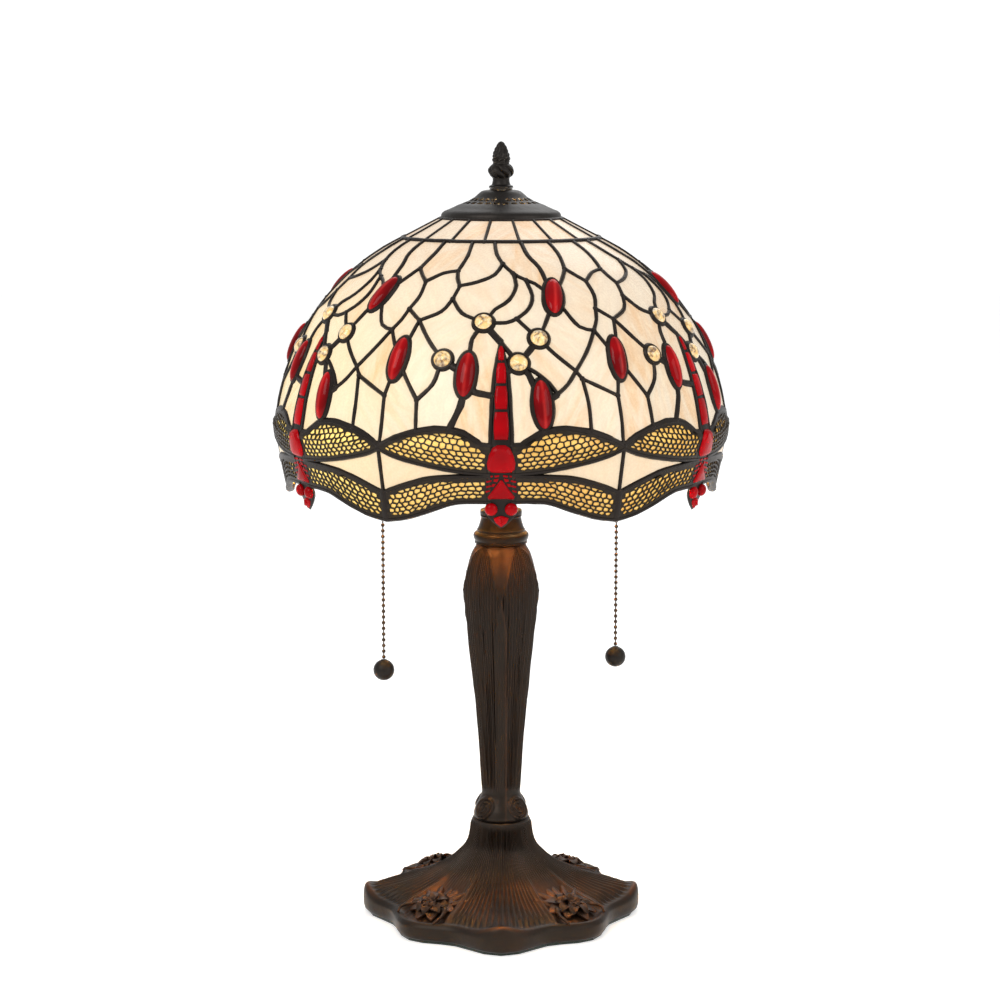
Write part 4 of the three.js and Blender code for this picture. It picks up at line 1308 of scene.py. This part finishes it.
class LAMP_OT_column(bpy.types.Operator):
    """Model the cast column: a four-sided fluted shaft with a scrolled foot"""
    bl_idname = "lamp.column"
    bl_label = "Column"

    def execute(self, context):
        outline = [(5.6, 67.4), (18.6, 67.4), (19.4, 68.2), (19.6, 70), (19.0, 72), (18.2, 74.2),
                   (17.0, 76.4), (15.8, 78.4), (14.7, 80.6), (13.7, 82.8), (13.1, 85), (13.2, 88),
                   (13.6, 94), (14.0, 100), (14.4, 106), (14.7, 112), (15.2, 118), (15.7, 125),
                   (16.2, 130), (16.7, 135), (17.3, 142), (18.0, 150), (18.7, 155), (19.4, 160),
                   (20.1, 167), (21.0, 175), (21.8, 181), (22.7, 188), (23.3, 194), (24.0, 200),
                   (24.5, 205), (25.0, 210), (25.6, 216), (26.1, 221), (26.3, 225), (25.9, 229),
                   (24.9, 233), (24.1, 237), (23.4, 241), (22.6, 245), (21.8, 248), (20.8, 251),
                   (19.4, 253.6), (18.2, 255.4), (17.2, 257.0), (16.4, 257.3), (5.6, 257.3)]
        bm = bmesh.new()
        turned(bm, stepped(outline, column_step), COLUMN_STEPS)
        warmth = bm.verts.layers.float.new("warmth")
        for vert in bm.verts:
            x, y, z = vert.co.x * 1000, vert.co.y * 1000, vert.co.z * 1000
            r = math.hypot(x, y)
            if r < 12:
                continue
            turn = math.atan2(y, x)
            push, vert[warmth] = column_relief(from_corner(turn), r, z)
            square = 0.045 * math.cos(4 * turn) * smooth(68, 90, z)
            scale = (1 + square) * profile(COLUMN_TRIM, z) + push / r
            vert.co.x, vert.co.y = x * scale / 1000, y * scale / 1000
        mesh_piece(bm, "fluted_column", "bronze", "stand", ["column"], sharp=80)
        return {"FINISHED"}


class LAMP_OT_collar(bpy.types.Operator):
    """Turn the gilt collar and the dark ring over the column"""
    bl_idname = "lamp.collar"
    bl_label = "Collar"

    def execute(self, context):
        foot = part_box("column_collar")[0].z * 1000
        outline = rounded([(6, 0.0), (16.6, 0.0), (17.6, 0.8), (17.4, 1.8), (17.9, 2.6), (18.5, 4.2),
                           (18.4, 6.0), (17.2, 7.4), (16.2, 7.9), (16.0, 8.4), (16.1, 9.2), (15.5, 10.0),
                           (14.6, 12.4), (13.8, 15.4), (13.4, 17.6), (13.4, 18.6), (6, 18.6)], 4)
        bm = bmesh.new()
        turned(bm, [(r, z + foot) for r, z in outline], 96)
        mesh_piece(bm, "gilt_collar", "gold_bronze", "stand", ["column_collar"])
        ring_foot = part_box("check_ring")[0].z * 1000
        outline = rounded([(6, 0), (13.2, 0), (13.9, 0.7), (14.0, 1.9), (13.8, 3.0), (13.0, 3.6),
                           (6, 3.6)], 4)
        bm = bmesh.new()
        turned(bm, [(r, z + ring_foot) for r, z in outline], 96)
        mesh_piece(bm, "dark_check_ring", "dark_bronze", "stand", ["check_ring"])
        return {"FINISHED"}


# ---------------------------------------------------------------- base

BASE_RADIUS = 87.0
LEAF_REACH = 2.6
LOBE_DEPTH = 5.1
BASE_STEPS = 720
BASE_STEP = 2.0
BASE_FLUTES = 120
NECK_SQUARE = 0.035

# The base's outside from its neck to its edge: radius, and height above its foot.
BASE_SLOPE = [(19.2, 63.6), (19.4, 61), (19.8, 57), (20.4, 53), (21.4, 49.4), (23, 46.2), (25.2, 43.4),
              (28.2, 40.2), (32, 36.4), (37, 32.2), (43, 28.2), (50, 24.4), (58, 21), (66, 18.2),
              (74, 16.0), (80, 14.8), (83.6, 14.6)]
BASE_INSIDE = [(81, 4), (79, 9.6), (74, 12), (66, 14.6), (58, 17.6), (50, 21.2), (43, 24.6), (35, 28.5),
               (29, 32.5), (24, 35.5), (19.5, 40), (17, 46), (15, 52), (5.6, 54)]
BASE_SKIRT = [(85.2, 14.4), (86.2, 13.4), (86.8, 11.5), (87, 9), (86.9, 4), (86.2, 1.2), (85, 0), (82, 0)]


def base_plan(turn, radius):
    swing = (LEAF_REACH * math.cos(4 * turn) + LOBE_DEPTH * math.cos(8 * turn)) / BASE_RADIUS
    return 1 + swing * smooth(30, 78, radius)


def base_relief(corner, r, rise, height):
    """How far the base's top stands out at a point rise above its foot, how far it is lifted, and
    how warm its colour is. Four fluted leaves point along the axes, with hollows between."""
    side = abs(corner)
    top_side = smooth(8, 14, rise)
    between = smooth(0.40, 0.54, side) * smooth(32, 44, r)
    wander = noise.noise(Vector((corner * 3.0, r * 0.02, 2.0)))
    flute = math.sin(BASE_FLUTES * corner + 1.6 * wander)
    deep = (0.42 + 0.46 * smooth(24, 60, r)) * (1 - smooth(76, 83, r))
    deep *= 1 - smooth(height - 2.6, height - 1.2, rise)
    push = deep * flute * (1 - 0.85 * between)
    rib = 0.5 * math.exp(-(side / 0.05) ** 2) * (1 - smooth(30, 44, r))
    push += rib * (1 - smooth(height - 3, height - 1, rise))
    edge = smooth(72, 86, r)
    tip = math.exp(-(corner / 0.15) ** 2)
    lift = edge * (6.2 * tip - 3.6) + 1.6 * math.cos(4 * corner) * smooth(30, 52, r) * (1 - edge)
    lift -= 2.2 * smooth(0.48, 0.62, side) * smooth(40, 52, r) * (1 - smooth(79, 84, r))
    lift += 1.3 * math.exp(-((side - 0.49) / 0.03) ** 2) * smooth(32, 44, r) * (1 - smooth(78, 84, r))
    lift += 1.0 * math.exp(-((r - 84) / 1.5) ** 2)
    where = Vector((math.cos(corner) * r, math.sin(corner) * r, 5.0))
    patch = smooth(-0.25, 0.35, noise.noise(where * 0.045))
    valley = 1 - smooth(-0.8, 0.0, flute)
    warm = 0.36 * valley * patch * smooth(30, 42, r) * (1 - smooth(70, 80, r)) * (1 - between)
    warm += 0.34 * between * smooth(36, 46, r) * (1 - smooth(78, 83, r)) * (0.3 + 0.7 * patch)
    warm += 0.55 * math.exp(-((r - 84.5) / 1.0) ** 2) * tip
    return push * top_side, lift * top_side, warm * top_side


class LAMP_OT_base(bpy.types.Operator):
    """Model the cast base: a fluted neck that flares into four leaves"""
    bl_idname = "lamp.base"
    bl_label = "Base"

    def execute(self, context):
        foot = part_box("base_casting")[0].z * 1000
        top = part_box("base_casting")[1].z * 1000
        height = top - foot
        outline = [*BASE_INSIDE, (5.6, height), (18.6, height), *BASE_SLOPE, *BASE_SKIRT]
        path = stepped(outline, lambda low, high: BASE_STEP)
        bm = bmesh.new()
        turned(bm, [(r, z + foot) for r, z in path], BASE_STEPS)
        warmth = bm.verts.layers.float.new("warmth")
        for vert in bm.verts:
            x, y, rise = vert.co.x * 1000, vert.co.y * 1000, vert.co.z * 1000 - foot
            r = math.hypot(x, y)
            if r < 12:
                continue
            turn = math.atan2(y, x)
            push, lift, vert[warmth] = base_relief(from_corner(turn), r, rise, height)
            level = smooth(24, 46, r)
            scale = base_plan(turn, r) * (1 + NECK_SQUARE * math.cos(4 * turn) * (1 - smooth(30, 60, r)))
            scale += push * (1 - level) / r
            vert.co = (x * scale / 1000, y * scale / 1000, (rise + foot + lift + push * level) / 1000)
        mesh_piece(bm, "cast_base", "bronze", "stand", ["base_casting"], sharp=80)
        flowers = bmesh.new()
        flowers.verts.layers.float.new("warmth")
        for i in range(4):
            flower_spray(flowers, 45 + 90 * i, foot, 30 + i)
        mesh_piece(flowers, "base_flowers", "bronze", "stand", sharp=70)
        return {"FINISHED"}


def base_top(radius, foot):
    return foot + profile(BASE_SLOPE, radius)


def petal(bm, length, width, curl, cup, phase=0.0, pointed=False, wave=0.5):
    """A petal or a leaf lying on the ground plane from the origin along +X, with a wavy edge."""
    made = bmesh.ops.create_grid(bm, x_segments=10, y_segments=4, size=1)["verts"]
    for vert in made:
        u, v = (vert.co.x + 1) / 2, vert.co.y
        if pointed:
            half = width * math.sin(math.pi * (0.08 + 0.92 * u) ** 0.7)
        else:
            half = width * math.sin(math.pi * min(u * 0.9 + 0.08, 1) ** 1.3) ** 0.7
        z = curl * math.sin(math.pi * u * 0.85) + cup * v * v * math.sin(math.pi * u)
        z += wave * math.sin(7 * u + phase) * v + 0.35 * (1 - abs(v)) * math.sin(math.pi * u)
        vert.co = (length * u, half * v + 0.6 * math.sin(3 * u + phase), z)
    faces = list({f for v in made for f in v.link_faces})
    bmesh.ops.solidify(bm, geom=faces, thickness=1.0)


def stem(bm, points, radius):
    """A round stem through points in millimetres."""
    run = [Vector(p) for p in points]
    rings = []
    for i, at in enumerate(run):
        ahead = (run[min(i + 1, len(run) - 1)] - run[max(i - 1, 0)]).normalized()
        side = ahead.cross(UP).normalized()
        up = side.cross(ahead)
        size = radius * (1.35 - 0.7 * i / len(run))
        rings.append([at + (side * math.cos(t) + up * math.sin(t)) * size
                      for t in (2 * math.pi * j / 8 for j in range(8))])
    skin(bm, rings)
    cap_ends(bm)


# Rings of petals: length, half width, curl, how many, lift, and where the first one starts.
FLOWER_RINGS = ((17.5, 4.6, 2.0, 8, 0.2, 0.0), (13.0, 3.8, 3.4, 8, 1.2, 0.4), (7.6, 2.6, 3.6, 6, 2.4, 0.1))
# Pointed leaves behind them: direction in degrees, length and half width.
FLOWER_LEAVES = ((150, 25, 3.0), (168, 29, 3.2), (186, 27, 3.0), (206, 24, 3.0), (128, 20, 2.8),
                 (232, 20, 2.8))
FLOWER_RADIUS = 65.0


def flower_spray(bm, turn_degrees, foot, seed):
    """A wide open flower between two leaves of the base, with pointed leaves, a bud and stems."""
    rng = random.Random(seed)
    spray = bmesh.new()
    warmth = spray.verts.layers.float.new("warmth")
    for reach, wide, curl, count, lift, start in FLOWER_RINGS:
        for i in range(count):
            one = bmesh.new()
            petal(one, reach * rng.uniform(0.86, 1.08), wide, curl * rng.uniform(0.8, 1.2), 1.2,
                  rng.uniform(0, 6))
            spin = Matrix.Rotation(2 * math.pi * (i + start + rng.uniform(-0.15, 0.15)) / count, 4, "Z")
            move_into(spray, one, Matrix.Translation((0, 0, lift)) @ spin)
    for away, length, wide in FLOWER_LEAVES:
        one = bmesh.new()
        petal(one, length, wide, 1.6, -0.8, rng.uniform(0, 6), pointed=True, wave=0.3)
        direction = Matrix.Rotation(math.radians(away), 4, "Z")
        move_into(spray, one, direction @ Matrix.Translation((6, 0, 0.4)))
    coil = []
    for i in range(24):
        reach = 2.4 * (1 - i / 26)
        coil.append((reach * math.cos(i * 0.62), reach * math.sin(i * 0.62), 3.6 + i * 0.07))
    stem(spray, coil, 0.75)
    for side in (-1, 1):
        stem(spray, [(4, side * 15, 1.2), (8, side * 18, 2.4), (12, side * 18.5, 2.8),
                     (16, side * 17, 1.6)], 1.0)
        bud = bmesh.ops.create_icosphere(spray, subdivisions=2, radius=1)["verts"]
        shape = Matrix.Translation((1, side * 13.5, 1.6)) @ Matrix.Rotation(side * 0.6, 4, "Z")
        bmesh.ops.transform(spray, matrix=shape @ Matrix.Diagonal((4.2, 2.2, 1.8, 1)), verts=bud)
    for vert in spray.verts:
        vert[warmth] = 0.6 * (1 - smooth(0.2, 3.0, vert.co.z)) + 0.12 * smooth(3.4, 5.0, vert.co.z)
    radius = FLOWER_RADIUS
    slope = math.atan2(base_top(radius - 8, foot) - base_top(radius + 8, foot), 16)
    angle = math.radians(turn_degrees)
    place = (Matrix.Translation(Vector((math.cos(angle) * radius, math.sin(angle) * radius,
                                        base_top(radius, foot) - 3.0)) / 1000)
             @ Matrix.Rotation(angle, 4, "Z") @ Matrix.Rotation(slope, 4, "Y") @ Matrix.Scale(0.001, 4))
    move_into(bm, spray, place)


# ---------------------------------------------------------------- pull chains

class LAMP_OT_pull_chains(bpy.types.Operator):
    """String the bead chains and turn their pull balls"""
    bl_idname = "lamp.pull_chains"
    bl_label = "Pull chains"

    def execute(self, context):
        beads = context.scene.lamp_sizes.chain_beads
        for side in ("right", "left"):
            low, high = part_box("bead_chain_" + side)
            middle = (low + high) / 2
            radius = 0.0013
            pitch = (high.z - low.z - 2 * radius) / (beads - 1)
            bm = bmesh.new()
            for i in range(beads):
                made = bmesh.ops.create_uvsphere(bm, u_segments=12, v_segments=8, radius=radius)["verts"]
                bmesh.ops.translate(bm, vec=(middle.x, middle.y, low.z + radius + pitch * i), verts=made)
                if i < beads - 1:
                    made = bmesh.ops.create_cone(bm, cap_ends=True, segments=8, radius1=0.00045,
                                                 radius2=0.00045, depth=pitch)["verts"]
                    at = (middle.x, middle.y, low.z + radius + pitch * (i + 0.5))
                    bmesh.ops.translate(bm, vec=at, verts=made)
            mesh_piece(bm, "bead_strand_" + side, "chain", "chain_" + side,
                       ["bead_chain_" + side], sharp=60)
            low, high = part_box("pull_ball_" + side)
            x, y = (low.x + high.x) / 2, (low.y + high.y) / 2
            ball = (high.x - low.x) / 2 * 1000
            outline = [(ball * math.sin(t * math.pi / 20), -ball * math.cos(t * math.pi / 20))
                       for t in range(19)]
            outline += [(2.2, ball * 0.955), (2.0, ball), (1.4, ball + 0.1), (0, ball + 0.1)]
            bm = bmesh.new()
            turned(bm, [(max(r, 0), z) for r, z in outline], 48)
            centre = Vector((x, y, low.z + ball / 1000))
            bmesh.ops.translate(bm, vec=centre, verts=bm.verts[:])
            mesh_piece(bm, "turned_ball_" + side, "dark_bronze", "chain_" + side,
                       ["pull_ball_" + side], sharp=50)
        return {"FINISHED"}


class LAMP_OT_fittings(bpy.types.Operator):
    """Finish the CAD parts that stay in view: rods, lampholders, bulbs and fixings"""
    bl_idname = "lamp.fittings"
    bl_label = "Fittings"

    def execute(self, context):
        plain = {
            "felt_pad": "felt", "base_weight": "steel", "base_washer": "steel", "base_nut": "steel",
            "cable_gland": "plastic", "column_nut": "brass", "lamp_rod": "steel", "riser_rod": "steel",
            "cluster_body": "brass", "shade_wheel": "brass", "riser_nut": "brass",
            "shade_top_ring": "dark_bronze", "finial_washer": "dark_bronze",
        }
        for side in ("right", "left"):
            plain.update({
                "cluster_arm_" + side: "brass", "lampholder_cap_" + side: "brass",
                "lampholder_shell_" + side: "brass", "insulating_liner_" + side: "liner",
                "screw_shell_" + side: "brass", "switch_block_" + side: "plastic",
                "chain_outlet_" + side: "brass", "bulb_cap_" + side: "steel",
                "bulb_glass_" + side: "bulb", "switch_pull_" + side: "chain",
                "chain_coupling_" + side: "chain",
            })
        for node, name in plain.items():
            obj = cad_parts[node]
            for slot in obj.material_slots:
                slot.material = finish(name)
        return {"FINISHED"}


# ---------------------------------------------------------------- stage

FLOOR_HALF = 6.0
SKY_LIGHT, SKY_SEEN = 0.68, 1.1
# Name, place, size and power of each studio light.
STUDIO_LIGHTS = (("key", (-1.3, -1.6, 1.9), 1.4, 26), ("fill", (1.7, -1.2, 1.2), 1.4, 12),
                 ("back", (0.3, 1.8, 2.0), 1.6, 14))
LIGHTS_AIM = Vector((0, 0, 0.25))
BULB_LIFT = 0.045
CAMERA_SIDE, CAMERA_HEIGHT = -0.0007, 0.5349


class LAMP_OT_stage(bpy.types.Operator):
    """Set the floor, the studio light and the camera"""
    bl_idname = "lamp.stage"
    bl_label = "Stage"

    def execute(self, context):
        bm = bmesh.new()
        bmesh.ops.create_grid(bm, x_segments=1, y_segments=1, size=FLOOR_HALF)
        mesh = bpy.data.meshes.new("floor")
        bm.to_mesh(mesh)
        bm.free()
        pale = Finish("pale studio floor", Roughness=0.8)
        pale.shader.inputs["Base Color"].default_value = (0.86, 0.86, 0.86, 1)
        pale.shader.inputs["Emission Color"].default_value = (1, 1, 1, 1)
        pale.shader.inputs["Emission Strength"].default_value = 0.42
        mesh.materials.append(pale.material)
        floor = bpy.data.objects.new("floor", mesh)
        context.scene.collection.objects.link(floor)
        world = bpy.data.worlds.new("studio")
        world.use_nodes = True
        links, nodes = world.node_tree.links, world.node_tree.nodes
        sky, path = nodes["Background"], nodes.new("ShaderNodeLightPath")
        spread = nodes.new("ShaderNodeMapRange")
        spread.inputs["To Min"].default_value = SKY_LIGHT
        spread.inputs["To Max"].default_value = SKY_SEEN
        links.new(path.outputs["Is Camera Ray"], spread.inputs["Value"])
        links.new(spread.outputs["Result"], sky.inputs["Strength"])
        sky.inputs["Color"].default_value = (1, 1, 1, 1)
        context.scene.world = world
        for name, at, size, power in STUDIO_LIGHTS:
            lamp = bpy.data.lights.new(name, "AREA")
            lamp.size = size
            lamp.energy = power
            source = bpy.data.objects.new(name, lamp)
            source.location = at
            aim = LIGHTS_AIM - Vector(at)
            source.rotation_euler = aim.to_track_quat("-Z", "Y").to_euler()
            context.scene.collection.objects.link(source)
        for side in ("left", "right"):
            low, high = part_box("bulb_glass_" + side)
            glow = bpy.data.lights.new("lit_" + side, "POINT")
            glow.energy = 2.2
            glow.color = (1.0, 0.76, 0.45)
            glow.shadow_soft_size = 0.03
            source = bpy.data.objects.new("lit_" + side, glow)
            source.location = (low + high) / 2 + BULB_LIFT * UP
            context.scene.collection.objects.link(source)
        camera = bpy.data.cameras.new("camera")
        camera.lens = context.scene.lamp_stage.lens
        camera.sensor_width = 36
        camera.clip_end = 50
        eye = bpy.data.objects.new("camera", camera)
        eye.location = (CAMERA_SIDE, -context.scene.lamp_stage.distance, CAMERA_HEIGHT)
        eye.rotation_euler = (math.radians(90 - context.scene.lamp_stage.look_down), 0, 0)
        context.scene.collection.objects.link(eye)
        context.scene.camera = eye
        context.scene.view_settings.view_transform = "Standard"
        return {"FINISHED"}


# ---------------------------------------------------------------- settings, panel and main

def colour(name, description, default):
    return FloatVectorProperty(name=name, description=description, default=default, subtype="COLOR",
                               size=3, min=0, max=1)


class LampSizes(bpy.types.PropertyGroup):
    """Sizes that can be changed without touching the frame."""
    lead_width: FloatProperty(
        name="Lead width", description="Width of a plain lead line on the shade",
        default=0.0026, min=0.0015, max=0.004, unit="LENGTH", precision=4)
    chain_beads: IntProperty(
        name="Beads", description="Beads on each pull chain", default=27, min=8, max=60)


class LampFinish(bpy.types.PropertyGroup):
    """Colours of the glass and the metals, and how bright the lit glass is."""
    cream: colour("Cream glass", "The dome's opalescent glass", (0.75, 0.63, 0.485))
    cream_streak: colour("Cream streaks", "Streaks in the dome's glass", (0.72, 0.46, 0.25))
    amber_pale: colour("Pale amber", "The wings' glass where it is brightest", (0.98, 0.74, 0.22))
    amber_deep: colour("Deep amber", "The wings' glass where it is darkest", (0.80, 0.42, 0.08))
    ruby: colour("Ruby glass", "Gems and dragonfly bodies", (0.44, 0.0, 0.003))
    bronze: colour("Bronze", "The cast stand's dark patina", (0.0175, 0.0118, 0.0078))
    # The rubbed colour also paints the light on the column's top and keel rims.
    bronze_rubbed: colour("Rubbed bronze", "The cast stand where the patina is worn", (0.22, 0.080, 0.026))
    glow: FloatProperty(name="Glow", description="How strongly the lit glass shines",
                        default=0.30, min=0, max=3)


class LampStage(bpy.types.PropertyGroup):
    """The camera's place."""
    lens: FloatProperty(name="Lens", description="Focal length in millimetres", default=85, min=20, max=300)
    distance: FloatProperty(name="Distance", description="Camera to the lamp's axis", default=1.564,
                            min=0.5, max=10, unit="LENGTH")
    look_down: FloatProperty(name="Look down", description="Degrees that the camera looks down",
                             default=9.03, min=-30, max=60)


PIECES = (LAMP_OT_dome_glass, LAMP_OT_dome_lead, LAMP_OT_gems, LAMP_OT_wings, LAMP_OT_dragonfly_bodies,
          LAMP_OT_vent_cap, LAMP_OT_finial, LAMP_OT_collar, LAMP_OT_column, LAMP_OT_base,
          LAMP_OT_pull_chains, LAMP_OT_fittings, LAMP_OT_stage)


class LAMP_PT_panel(bpy.types.Panel):
    """Lists the lamp's sizes, colours and pieces"""
    bl_idname = "LAMP_PT_panel"
    bl_label = "Table Lamp"
    bl_space_type = "VIEW_3D"
    bl_region_type = "UI"
    bl_category = "Table Lamp"

    def draw(self, context):
        for group in (context.scene.lamp_sizes, context.scene.lamp_finish, context.scene.lamp_stage):
            box = self.layout.box()
            for name in group.__annotations__:
                box.prop(group, name)
        for piece in PIECES:
            self.layout.operator(piece.bl_idname)


CLASSES = (LampSizes, LampFinish, LampStage, *PIECES, LAMP_PT_panel)


def register():
    for cls in CLASSES:
        bpy.utils.register_class(cls)
    bpy.types.Scene.lamp_sizes = PointerProperty(type=LampSizes)
    bpy.types.Scene.lamp_finish = PointerProperty(type=LampFinish)
    bpy.types.Scene.lamp_stage = PointerProperty(type=LampStage)


def unregister():
    del bpy.types.Scene.lamp_sizes
    del bpy.types.Scene.lamp_finish
    del bpy.types.Scene.lamp_stage
    for cls in reversed(CLASSES):
        bpy.utils.unregister_class(cls)


def main():
    register()
    bpy.ops.lamp.stage()
    bpy.ops.lamp.dome_glass()
    bpy.ops.lamp.dome_lead()
    bpy.ops.lamp.gems()
    bpy.ops.lamp.wings()
    bpy.ops.lamp.dragonfly_bodies()
    bpy.ops.lamp.vent_cap()
    bpy.ops.lamp.finial()
    bpy.ops.lamp.collar()
    bpy.ops.lamp.column()
    bpy.ops.lamp.base()
    bpy.ops.lamp.pull_chains()
    bpy.ops.lamp.fittings()


if __name__ == "__main__":
    main()
